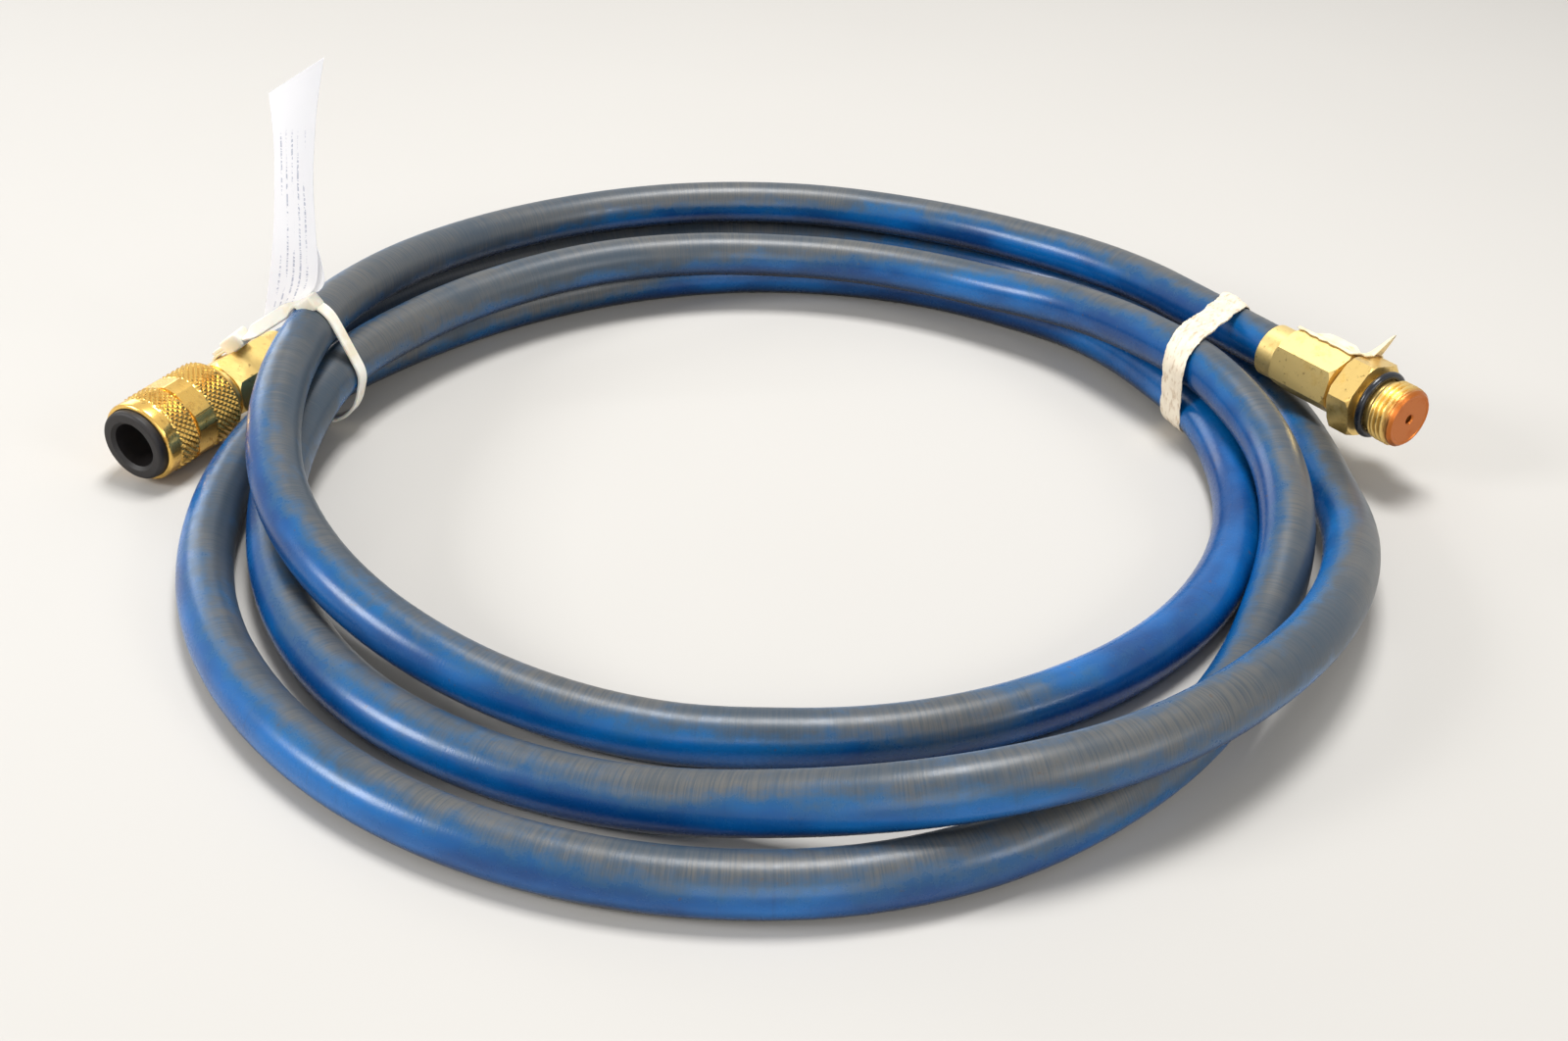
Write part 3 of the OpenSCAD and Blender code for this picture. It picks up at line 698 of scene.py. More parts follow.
class Loft:
    """A surface that grows ring by ring, each ring extruded from the one before."""

    def __init__(self, rings: Sequence[Sequence[Vector]], closed: bool = True,
                 mapped: bool = False, mark: str = "") -> None:
        """Grows the surface through all its rings.

        Args:
            rings: The points of each ring, in metres.
            closed: Whether a ring is a closed loop. The last ring then meets the first.
            mapped: Whether the surface gets a UV map.
            mark: The name of a number that each point carries, if any.
        """
        first, *rest = rings
        self.mesh = bmesh.new()
        self.closed = closed
        self.uv = self.mesh.loops.layers.uv.new("UVMap") if mapped else None
        self.mark = self.mesh.verts.layers.float.new(mark) if mark else None
        if closed:
            made = bmesh.ops.create_circle(
                self.mesh, cap_ends=False, radius=1.0, segments=len(first))
            ring = list(made["verts"])
        else:
            ring = [self.mesh.verts.new(p) for p in first]
            for a, b in zip(ring, ring[1:]):
                self.mesh.edges.new((a, b))
        for vert, point in zip(ring, first):
            vert.co = point
        self.rings = [ring]
        for points in rest:
            self.grow(points)
        if closed:
            bmesh.ops.bridge_loops(self.mesh, edges=self.loop_edges(0) + self.loop_edges(-1))

    def grow(self, points: Sequence[Vector]) -> None:
        """Extrudes the last ring to a new one.

        Args:
            points: The new ring's points, one for each of the last ring's.
        """
        last = self.rings[-1]
        pairs = list(zip(last, last[1:]))
        if self.closed:
            pairs.append((last[-1], last[0]))
        edges = [self.mesh.edges.get(pair) for pair in pairs]
        made = bmesh.ops.extrude_edge_only(self.mesh, edges=edges)
        fresh = {e for e in made["geom"] if isinstance(e, bmesh.types.BMVert)}
        ring = []
        for vert, point in zip(last, points):
            twin = next(e.other_vert(vert) for e in vert.link_edges
                        if e.other_vert(vert) in fresh)
            twin.co = point
            ring.append(twin)
        self.rings.append(ring)

    def loop_edges(self, index: int) -> list[bmesh.types.BMEdge]:
        """The edges of one closed ring."""
        ring = self.rings[index]
        return [self.mesh.edges.get((a, b)) for a, b in zip(ring, ring[1:] + ring[:1])]

    def unwrap(self, spots: Callable[[int, int], tuple[float, float]]) -> None:
        """Writes a UV map from ring and side numbers.

        Args:
            spots: Gives (u, v) for a ring's number and a side's number, where the
                side's number may be one past the last on a closed ring.
        """
        where = {v: (k, j) for k, ring in enumerate(self.rings) for j, v in enumerate(ring)}
        sides = len(self.rings[0])
        for face in self.mesh.faces:
            corners = [where[loop.vert] for loop in face.loops]
            wraps = self.closed and len({j for _, j in corners} & {0, sides - 1}) == 2
            for loop, (k, j) in zip(face.loops, corners):
                loop[self.uv].uv = spots(k, sides if wraps and j == 0 else j)


def finish_mesh(mesh: bmesh.types.BMesh, name: str, sharp: float,
                outward: bool = True) -> bpy.types.Object:
    """Turns a bmesh into a shaded object at the origin.

    Args:
        mesh: The mesh, which is freed.
        name: The object's name.
        sharp: Angle in degrees above which an edge shades sharp.
        outward: Whether the faces are turned outwards here.

    Returns:
        The new object.
    """
    if outward:
        bmesh.ops.recalc_face_normals(mesh, faces=mesh.faces)
    for face in mesh.faces:
        face.smooth = True
    limit = math.radians(sharp)
    for edge in mesh.edges:
        edge.smooth = len(edge.link_faces) == 2 and edge.calc_face_angle(0.0) < limit
    data = bpy.data.meshes.new(name)
    mesh.to_mesh(data)
    mesh.free()
    made = bpy.data.objects.new(name, data)
    bpy.context.scene.collection.objects.link(made)
    return made


def thicken(sheet: bpy.types.Object, thickness: float, side: float) -> None:
    """Gives an open sheet its wall.

    Args:
        sheet: The sheet.
        thickness: The wall's thickness in millimetres.
        side: 0 for a wall on both sides of the sheet, 1 for one on its front.
    """
    wall = sheet.modifiers.new("wall", "SOLIDIFY")
    wall.thickness = thickness * MM
    wall.offset = side


def dress(piece: bpy.types.Object, material: bpy.types.Material, slot: Slot,
          body: Body, *nodes: str) -> bpy.types.Object:
    """Gives a new piece its finish and its body, and hides the nodes that it stands for.

    Args:
        piece: The new piece.
        material: Its finish.
        slot: The record's slot of that finish; not used.
        body: The CAD body that it rides on.
        *nodes: The CAD nodes that it stands for.

    Returns:
        The piece.
    """
    piece.data.materials.append(material)
    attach(piece, body.value)
    if nodes:
        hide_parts(*nodes)
    LOG.info("%s: %d faces", piece.name, len(piece.data.polygons))
    return piece


def round_rings(count: int, *turned: tuple[float, float]) -> list[Ring]:
    """Round rings of so many points, from pairs of radius and place along the axis."""
    return [([radius] * count, along) for radius, along in turned]


def hexagon_radius(angle: float, across_flats: float) -> float:
    """A hexagon's radius at an angle in degrees from one of its corners."""
    return across_flats / 2 / math.cos(math.radians(angle % 60.0 - 30.0))


def turned_part(name: str, spot: Matrix, rings: Sequence[Ring], sharp: float,
                start: float = 0.0) -> bpy.types.Object:
    """Makes a closed part from rings round its axis.

    Args:
        name: The part's name.
        spot: The part's place, with its axis along Z.
        rings: The rings, once round the part's section.
        sharp: Angle in degrees above which an edge shades sharp.
        start: The angle of each ring's first point, in degrees.

    Returns:
        The part.
    """
    turn = math.radians(start)
    placed = []
    for radii, along in rings:
        angles = (turn + 2 * math.pi * j / len(radii) for j in range(len(radii)))
        placed.append([
            spot @ Vector((r * MM * math.cos(a), r * MM * math.sin(a), along * MM))
            for r, a in zip(radii, angles)
        ])
    return finish_mesh(Loft(placed).mesh, name, sharp)


# ------------------------------------------------------------------ route


@dataclass
class Route:
    """The way of the hose's middle line round the coil and into both ends.

    A station is the angle round the coil, the lane and the level. A lane and a
    level are one pitch each. Lane 0 has the coil's radius, and level 0 rests on
    the table.
    """

    coil_at: tuple[float, float] = (8.57, -6.39)
    coil_r: float = 150.0
    hose_d: float = 15.0
    pitch: float = 15.5
    rest_z: float = 6.0
    start: float = 25.0
    end: float = 1234.0
    male_heading: float = -56.0
    male_run: float = 15.0
    coupling_heading: float = 245.0
    coupling_run: float = 17.5
    grip_length: float = 24.0
    nut_d: float = 25.6
    tail_points: int = 9
    eased_points: tuple[int, int] = (7, 16)
    easing_rounds: int = 30
    stations: tuple[tuple[float, float, float], ...] = (
        (24, 0.46, 1.21), (30, 0.45, 1.18), (36, 0.52, 1.15), (45, 0.66, 1.11),
        (60, 0.86, 1.04), (75, 1.23, 0.99), (90, 1.60, 1.00), (105, 1.80, 1.02),
        (120, 1.73, 1.08), (135, 1.37, 1.25), (150, 0.77, 1.55), (165, 0.24, 1.79),
        (180, -0.05, 1.55), (195, -0.34, 1.17), (210, -0.77, 0.80), (225, -1.26, 0.44),
        (240, -1.69, 0.15), (255, -1.98, 0), (270, -2.13, 0), (300, -2.03, 0),
        (330, -1.69, 0), (360, -1.26, 0), (375, -1.12, 0.21), (390, -1.00, 0.22),
        (405, -0.63, 0.10), (420, -0.48, 0), (450, -0.24, 0), (480, -0.05, 0),
        (495, 0.10, 0.02), (510, 0.29, 0.10), (525, 0.62, 0.21), (540, 0.92, 0.10),
        (555, 1.08, 0), (570, 1.16, 0), (600, 1.16, 0), (630, 0.92, 0), (645, 0.63, 0),
        (660, 0.16, 0), (675, -0.27, 0), (690, -0.58, 0.10), (705, -0.64, 0.56),
        (720, -0.78, 0.93), (735, -1.15, 1.24), (750, -1.38, 1.18), (765, -1.32, 0.95),
        (780, -1.31, 0.77), (810, -0.97, 0.75), (825, -0.77, 0.81), (840, -0.61, 0.87),
        (855, -0.48, 0.87), (870, -0.36, 0.88), (885, -0.17, 0.85), (900, -0.10, 0.48),
        (915, -0.10, 0.14), (930, -0.10, 0), (945, -0.12, 0), (960, -0.27, 0),
        (975, -0.34, 0.12), (990, -0.10, 0.56), (1005, 0.32, 1.01), (1020, 0.39, 1.01),
        (1035, 0.39, 0.95), (1050, 0.44, 0.77), (1065, 0.47, 0.45), (1080, 0.44, 0.15),
        (1095, 0.73, 0.05), (1110, 1.02, 0.24), (1125, 1.26, 0.12), (1140, 1.45, 0),
        (1155, 1.60, 0), (1170, 1.74, 0), (1185, 1.86, 0.02), (1200, 1.93, 0.10),
        (1215, 1.88, 0.27), (1237, 1.76, 0.4387),
    )

    def column(self, angle: float, part: int) -> float:
        """The lane or level at an angle, on a smooth curve through the stations.

        Args:
            angle: The angle in degrees.
            part: 1 for the lane, 2 for the level.

        Returns:
            The lane or the level.
        """
        rows = self.stations
        last = len(rows) - 1
        k = 0
        while k < last - 1 and rows[k + 1][0] <= angle:
            k += 1

        def slope(i: int) -> float:
            """The curve's slope at a station."""
            a, b = rows[max(i - 1, 0)], rows[min(i + 1, last)]
            return (b[part] - a[part]) / (b[0] - a[0])

        a, b = rows[k], rows[k + 1]
        width = b[0] - a[0]
        t = (angle - a[0]) / width
        return ((2 * t ** 3 - 3 * t ** 2 + 1) * a[part]
                + (t ** 3 - 2 * t ** 2 + t) * width * slope(k)
                + (3 * t ** 2 - 2 * t ** 3) * b[part]
                + (t ** 3 - t ** 2) * width * slope(k + 1))

    def centre(self, angle: float) -> Vector:
        """The hose's middle at an angle.

        Args:
            angle: The angle along the route, in degrees.

        Returns:
            The point in millimetres from the coil's middle.
        """
        r = self.coil_r + self.column(angle, 1) * self.pitch
        a = math.radians(angle)
        return Vector((r * math.cos(a), r * math.sin(a),
                       self.rest_z + self.column(angle, 2) * self.pitch))

    def section(self, angle: float) -> Vector:
        """The hose's middle at an angle, as distance from the coil's middle and height."""
        p = self.centre(angle)
        return Vector((math.hypot(p.x, p.y), p.z))

    def crossing(self, angle: float, across: Vector, offset: float,
                 within: float = 12.0, halvings: int = 40) -> Vector:
        """Where the hose passes through an upright plane near an angle.

        Args:
            angle: The angle near which the hose passes through.
            across: The plane's direction, level and along the hose's way.
            offset: The plane's distance from the coil's middle, in millimetres.
            within: How far from that angle it may do so, in degrees.
            halvings: How often that stretch is halved in the search.

        Returns:
            The point in millimetres from the coil's middle.
        """
        low, high = angle - within, angle + within
        for _ in range(halvings):
            middle = (low + high) / 2
            if self.centre(middle).dot(across) < offset:
                low = middle
            else:
                high = middle
        return self.centre(low)

    @staticmethod
    def heading(angle: float) -> Vector:
        """A level direction."""
        a = math.radians(angle)
        return Vector((math.cos(a), math.sin(a), 0.0))

    @property
    def male_at(self) -> Vector:
        """The rear of the threaded end's socket."""
        return self.centre(self.start) + self.male_run * self.heading(self.male_heading)

    @property
    def coupling_leave(self) -> Vector:
        """Where the hose leaves the coil for the coupling."""
        p = self.centre(self.end)
        return Vector((p.x, p.y, self.nut_d / 2))

    @property
    def coupling_at(self) -> Vector:
        """The rear of the coupling's socket."""
        return self.coupling_leave + self.coupling_run * self.heading(self.coupling_heading)

    def placed(self, point: Vector) -> Vector:
        """A point from the coil's middle, in metres in the part's own frame."""
        return Vector((point.x + self.coil_at[0], point.y + self.coil_at[1], point.z)) * MM

    def end_spot(self, at: Vector, heading: float) -> Matrix:
        """The place of a hose end, with its axis along Z out of the hose.

        Args:
            at: The socket's rear, in millimetres.
            heading: The direction out of the hose, in degrees.

        Returns:
            The place as a matrix, in metres.
        """
        return (Matrix.Translation(self.placed(at))
                @ Matrix.Rotation(math.radians(heading), 4, "Z")
                @ Matrix.Rotation(math.pi / 2, 4, "Y"))

    @property
    def male_spot(self) -> Matrix:
        """The place of the threaded end."""
        return self.end_spot(self.male_at, self.male_heading)

    @property
    def coupling_spot(self) -> Matrix:
        """The place of the coupling."""
        return self.end_spot(self.coupling_at, self.coupling_heading)

    def points(self, step: float = 2.0) -> list[tuple[Vector, float]]:
        """The middle line from one grip to the other.

        Args:
            step: The angle between points on the coil, in degrees.

        Returns:
            Points in millimetres from the coil's middle, each with its angle
            along the route.
        """
        leave, enter = self.centre(self.start), self.coupling_leave
        out, into = self.heading(self.male_heading), self.heading(self.coupling_heading)
        male_tail = self.male_run + self.grip_length
        coupling_tail = self.coupling_run + self.grip_length
        share = 1 / self.tail_points
        line: list[tuple[Vector, float]] = [
            (leave + out * male_tail * k * share, self.start - k)
            for k in range(self.tail_points, 0, -1)]
        line.append((leave, self.start))
        count = round((self.end - self.start) / step)
        for k in range(1, count):
            angle = self.start + (self.end - self.start) * k / count
            line.append((self.centre(angle), angle))
        line.append((enter, self.end))
        line += [(enter + into * coupling_tail * k * share, self.end + k)
                 for k in range(1, self.tail_points + 1)]
        near, far = self.eased_points
        for _ in range(self.easing_rounds):
            before = [p.copy() for p, _ in line]
            for k in (*range(near, far), *range(len(line) - far, len(line) - near)):
                middle = (before[k - 1] + before[k + 1]) / 2
                line[k] = ((before[k] + middle) / 2, line[k][1])
        return line


# ------------------------------------------------------------------- hose


@dataclass
class CoiledHose:
    """The rubber hose, swept along its route as one hollow tube."""

    route: Route
    sides: int = 30
    wall: float = 2.0
    finish: HoseRubber = HoseRubber()
    spared_from: Span = (288.0, 318.0)
    spared_to: Span = (452.0, 480.0)
    spared_by: float = 1.1
    lean_right: float = 46.0
    rubbed_at: tuple[float, float] = (112.0, 12.0)
    rubbed_more: float = 0.3
    sharp: float = 60.0

    def wear(self, angle: float, side: int) -> float:
        """How much the cover is rubbed at a point of the route, from about -2 to 1.

        Args:
            angle: The angle along the route, in degrees.
            side: The side's number, from the underside round.

        Returns:
            The wear, which is greatest near the top.
        """
        spared = smooth(*self.spared_from, angle) * (1.0 - smooth(*self.spared_to, angle))
        turn = math.radians(angle)
        lean = self.lean_right * math.cos(turn)
        outward = 180.0 - 360.0 * side / self.sides
        more = self.rubbed_more * max(
            0.0, *(math.cos(turn - math.radians(at)) for at in self.rubbed_at))
        return math.cos(math.radians(outward - lean)) + more - self.spared_by * spared

    def ring(self, line: list[Vector], k: int, r: float) -> list[Vector]:
        """One ring of the tube, flattened where it rests on the table.

        Args:
            line: The middle line.
            k: The point's number.
            r: The ring's radius.

        Returns:
            The ring's points in metres, from the underside round.
        """
        ahead = line[min(k + 1, len(line) - 1)] - line[max(k - 1, 0)]
        ahead.normalize()
        side = ahead.cross(Vector((0, 0, 1))).normalized()
        up = side.cross(ahead)
        points = []
        for j in range(self.sides):
            a = 2 * math.pi * j / self.sides - math.pi / 2
            p = line[k] + side * (r * math.cos(a)) + up * (r * math.sin(a))
            p.z = max(p.z, self.route.hose_d / 2 - r)
            points.append(self.route.placed(p))
        return points

    def build(self) -> bpy.types.Object:
        """Builds and dresses the hose.

        Returns:
            The hose.
        """
        path = self.route.points()
        line = [p for p, _ in path]
        outer = self.route.hose_d / 2
        inner, last = outer - self.wall, len(line) - 1
        loft = Loft([self.ring(line, 0, inner),
                     *(self.ring(line, k, outer) for k in range(last + 1)),
                     *(self.ring(line, k, inner) for k in range(last, 0, -1))],
                    mapped=True, mark="wear")
        done = [0.0]
        for a, b in zip(line, line[1:]):
            done.append(done[-1] + (b - a).length)
        girth = math.pi * self.route.hose_d
        skin = [0, *range(last + 1), *range(last, 0, -1)]
        loft.unwrap(lambda k, j: (done[skin[k]] / girth, j / self.sides))
        for k, ring in enumerate(loft.rings):
            for side, vert in enumerate(ring):
                vert[loft.mark] = self.wear(path[skin[k]][1], side)
        hose = finish_mesh(loft.mesh, "air_hose", self.sharp)
        dress(hose, self.finish.material(), Slot.HOSE_COVER, Body.HOSE, "hose_cover")
        return hose

    def declare(self) -> None:
        """Works out the hose's middle line and the threaded end's rear, and keeps neither.
        """
        path = [self.route.placed(p) for p, _ in self.route.points()]
        self.route.placed(self.route.male_at)


# ---------------------------------------------------------- threaded insert


@dataclass
class ThreadedInsert:
    """The brass insert of the threaded end, from its barbed tail to its nose."""

    route: Route
    sides: int = 96
    sharp: float = 24.0
    # Where the painted orange reflection on the nose face starts, along the axis.
    reflected_from: float = 53.2

    tail_start: float = 2.0
    tail_r: float = 3.7
    barb_depth: float = 0.5
    barb_pitch: float = 4.0
    barb_margin: float = 1.0
    tail_collar: float = 0.25
    shank_r: float = 5.2

    socket_end: float = 29.05
    neck_r: float = 7.0
    neck_chamfer: float = 0.3
    neck_end: float = 32.0
    wrench_af: float = 22.2
    wrench_end: float = 40.0
    wrench_turn: float = 17.0
    wrench_bevel: float = 1.1
    bevel_slope: float = 0.7
    bevel_steps: int = 6
    undercut_r: float = 8.2
    undercut_margin: float = 0.6

    thread_start: float = 45.3
    thread_r: float = 9.525
    thread_pitch: float = 1.5875
    thread_depth: float = 0.97
    thread_root: float = 0.07
    thread_flank: float = 0.34
    thread_end: float = 51.65
    thread_in: Span = (-0.2, 1.0)
    thread_out: Span = (-0.5, 0.3)
    thread_rows: int = 66

    nose_relief: float = 0.5
    nose_end: float = 53.55
    nose_chamfer: float = 0.9
    nose_lip: float = 0.6
    nose_dish: float = 0.15
    dish_slope: float = 0.2
    passage_r: float = 2.2
    passage_chamfer: float = 1.0
    orifice_r: float = 1.35
    orifice_length: float = 5.0
    orifice_chamfer: float = 0.4

    def finish(self) -> Brass:
        """The insert's brass, with a painted orange reflection on the face of its nose.

        Returns:
            The finish.
        """
        route = self.route
        rear = route.placed(route.male_at).dot(route.heading(route.male_heading))
        return Brass("hose_end_brass", math.radians(route.male_heading),
                     reflected_from=rear + self.reflected_from * MM)

    def hexagon(self, most: float) -> list[float]:
        """The wrench hexagon's radii, cut back to a round of the given radius."""
        return [min(hexagon_radius(360.0 * j / self.sides, self.wrench_af), most)
                for j in range(self.sides)]

    def thread(self, along: float) -> list[float]:
        """The helical thread's radii.

        Args:
            along: The distance along the axis.

        Returns:
            One radius for each side.
        """
        into, out = self.thread_in, self.thread_out
        fade = (smooth(self.thread_start + into[0], self.thread_start + into[1], along)
                * (1 - smooth(self.thread_end + out[0], self.thread_end + out[1], along)))
        root = self.thread_r - self.thread_depth
        radii = []
        for j in range(self.sides):
            t = ((along - self.thread_start) / self.thread_pitch - j / self.sides) % 1.0
            rise = (0.5 - abs(t - 0.5) - self.thread_root) / self.thread_flank
            radii.append(root + self.thread_depth * min(1.0, max(0.0, rise)) * fade)
        return radii

    def tail(self) -> list[Ring]:
        """The barbed tail.

        Returns:
            Its rings, from inside its passage to the shank.
        """
        valley, grip_end = self.tail_r - self.barb_depth, self.route.grip_length
        s = self.tail_start
        turned = [(self.passage_r, s), (valley, s)]
        while s + self.barb_pitch < grip_end - self.barb_margin:
            s += self.barb_pitch
            turned += [(self.tail_r, s), (valley, s)]
        turned += [(valley, grip_end - self.barb_margin), (self.tail_r, grip_end),
                   (self.tail_r, grip_end + self.tail_collar),
                   (self.shank_r, grip_end + self.tail_collar)]
        return round_rings(self.sides, *turned)

    def wrench(self) -> list[Ring]:
        """The wrench hexagon, with its corners bevelled at both ends.

        Returns:
            Its rings, from the neck to the undercut.
        """
        corner = hexagon_radius(0.0, self.wrench_af)
        rings = []
        for k in range(self.bevel_steps + 1):
            cut = self.wrench_bevel * (1 - k / self.bevel_steps)
            rings.append((self.hexagon(corner - cut),
                          self.neck_end + (self.wrench_bevel - cut) * self.bevel_slope))
        return rings + [(radii, self.neck_end + self.wrench_end - s)
                        for radii, s in reversed(rings)]

    def nose(self) -> list[Ring]:
        """The nose.

        Returns:
            Its rings, from the thread's end round into the passage.
        """
        face_r, dish = self.thread_r - self.nose_relief, self.nose_end - self.nose_dish
        lip_r = face_r - self.nose_chamfer - self.nose_lip
        passage_end = self.nose_end - self.orifice_length
        return round_rings(
            self.sides, (face_r, self.thread_end + self.nose_relief),
            (face_r, self.nose_end - self.nose_chamfer),
            (face_r - self.nose_chamfer, self.nose_end), (lip_r, self.nose_end),
            (lip_r - self.dish_slope, dish), (self.orifice_r + self.orifice_chamfer, dish),
            (self.orifice_r, dish - self.orifice_chamfer), (self.orifice_r, passage_end),
            (self.passage_r, passage_end - self.passage_chamfer))

    def build(self) -> bpy.types.Object:
        """Builds and dresses the insert.

        Returns:
            The insert.
        """
        threaded_from = self.thread_start + self.thread_in[0]
        threaded_to = self.thread_end + self.thread_out[1]
        rings = self.tail() + round_rings(
            self.sides, (self.shank_r, self.socket_end),
            (self.neck_r - self.neck_chamfer, self.socket_end),
            (self.neck_r, self.socket_end + self.neck_chamfer), (self.neck_r, self.neck_end))
        rings += self.wrench() + round_rings(
            self.sides, (self.undercut_r, self.wrench_end),
            (self.undercut_r, self.thread_start - self.undercut_margin),
            (self.thread_r - self.thread_depth, threaded_from))
        for k in range(1, self.thread_rows + 1):
            s = threaded_from + (threaded_to - threaded_from) * k / self.thread_rows
            rings.append((self.thread(s), s))
        insert = turned_part("threaded_insert", self.route.male_spot, rings + self.nose(),
                             self.sharp, self.wrench_turn)
        return dress(insert, self.finish().material(), Slot.BRASS, Body.HOSE, "male_insert")


# ------------------------------------------------------------- swivel nut


@dataclass
class KnurledNut:
    """The coupling's turning nut, with two knurled bands and flats between."""

    route: Route
    finish: Brass
    sharp: float = 28.0

    knurls: int = 40
    samples: int = 8
    knurl_depth: float = 0.7
    knurl_pitch: float = 2.1
    knurl_in: float = 0.7
    knurl_crest: float = 1.15
    knurl_gap: float = 0.3

    nut_r: float = 12.8
    start: float = 32.4
    bevel: float = 1.6
    back_chamfer: tuple[float, float] = (1.0, 0.15)
    rear_knurl_end: float = 44.6
    groove_depth: float = 0.1
    flats_end: float = 51.6
    flats_af: float = 24.0
    flats_turn: float = -15.0
    flats_edge: float = 0.2
    front_knurl_end: float = 59.6
    rim_groove: tuple[float, float, float] = (0.1, 0.5, 0.8)
    rim_groove_depth: float = 0.4
    rim_relief: float = 0.35
    rim_chamfer: float = 1.0
    rim_steps: int = 4
    end: float = 64.2

    bore_r: float = 5.58
    wall_end: float = 35.4
    cavity_r: float = 8.5
    seat_r: float = 11.05
    seat_start: float = 53.6
    seat_chamfer: float = 0.2

    @property
    def sides(self) -> int:
        """The number of points in a ring."""
        return self.knurls * self.samples

    def knurled(self, along: float, low: float, high: float) -> list[float]:
        """The radii of a knurled band at a distance along the axis.

        Args:
            along: The distance along the axis.
            low: The band's start.
            high: The band's end.

        Returns:
            One radius for each side.
        """
        ends = (smooth(low, low + self.knurl_in, along)
                * (1 - smooth(high - self.knurl_in, high, along)))
        radii = []
        for j in range(self.sides):
            around, forward = j / self.samples, (along - low) / self.knurl_pitch
            height = min(1 - abs(2 * (phase % 1.0) - 1)
                         for phase in (around + forward, around - forward))
            height = min(1.0, height * self.knurl_crest) * ends
            radii.append(self.nut_r - self.knurl_depth * (1 - height))
        return radii

    def flats(self) -> list[float]:
        """The radii of the zone with wrench flats."""
        return [min(hexagon_radius(360.0 * j / self.sides - self.flats_turn, self.flats_af),
                    self.nut_r - self.groove_depth) for j in range(self.sides)]

    def band(self, low: float, high: float) -> list[Ring]:
        """One knurled band.

        Args:
            low: The band's start.
            high: The band's end.

        Returns:
            Its rings, from its start to its end.
        """
        rows = round((high - low) / self.knurl_pitch * self.samples)
        places = (low + (high - low) * k / rows for k in range(rows + 1))
        return [(self.knurled(s, low, high), s) for s in places]

    def rim(self) -> list[Ring]:
        """The plain rim.

        Returns:
            Its rings, from the groove behind it to its rounded face.
        """
        top = self.nut_r - self.rim_relief
        into, out, crest = (self.front_knurl_end + s for s in self.rim_groove)
        turned = [(top - self.rim_groove_depth, into), (top - self.rim_groove_depth, out),
                  (top, crest)]
        for k in range(self.rim_steps + 1):
            a = math.pi / 2 * k / self.rim_steps
            turned.append((top - self.rim_chamfer * (1 - math.cos(a)),
                           self.end - self.rim_chamfer * (1 - math.sin(a))))
        return round_rings(self.sides, *turned)

    def build(self) -> bpy.types.Object:
        """Builds and dresses the nut.

        Returns:
            The nut.
        """
        n, edge = self.sides, self.flats_edge
        valley, back_r = self.nut_r - self.knurl_depth, self.nut_r - self.bevel
        groove_r = valley - self.groove_depth
        knurl_start = self.start + self.bevel - self.knurl_gap
        rings = round_rings(
            n, (self.bore_r, self.start), (back_r - self.back_chamfer[0], self.start),
            (back_r, self.start + self.back_chamfer[1]), (valley, knurl_start))
        rings += self.band(knurl_start, self.rear_knurl_end - self.knurl_gap)
        rings += round_rings(n, (groove_r, self.rear_knurl_end))
        rings += [(self.flats(), s) for s in (
            self.rear_knurl_end, self.rear_knurl_end + edge,
            self.flats_end - edge, self.flats_end)]
        rings += round_rings(n, (groove_r, self.flats_end))
        rings += self.band(self.flats_end + self.knurl_gap, self.front_knurl_end)
        rings += self.rim() + round_rings(
            n, (self.seat_r + self.seat_chamfer, self.end),
            (self.seat_r, self.end - self.seat_chamfer), (self.seat_r, self.seat_start),
            (self.cavity_r, self.seat_start), (self.cavity_r, self.wall_end),
            (self.bore_r, self.wall_end))
        nut = turned_part("knurled_nut", self.route.coupling_spot, rings, self.sharp)
        return dress(nut, self.finish.material(), Slot.KNURLED_BRASS, Body.NUT, "swivel_nut")


# ------------------------------------------------------- straps and tapes


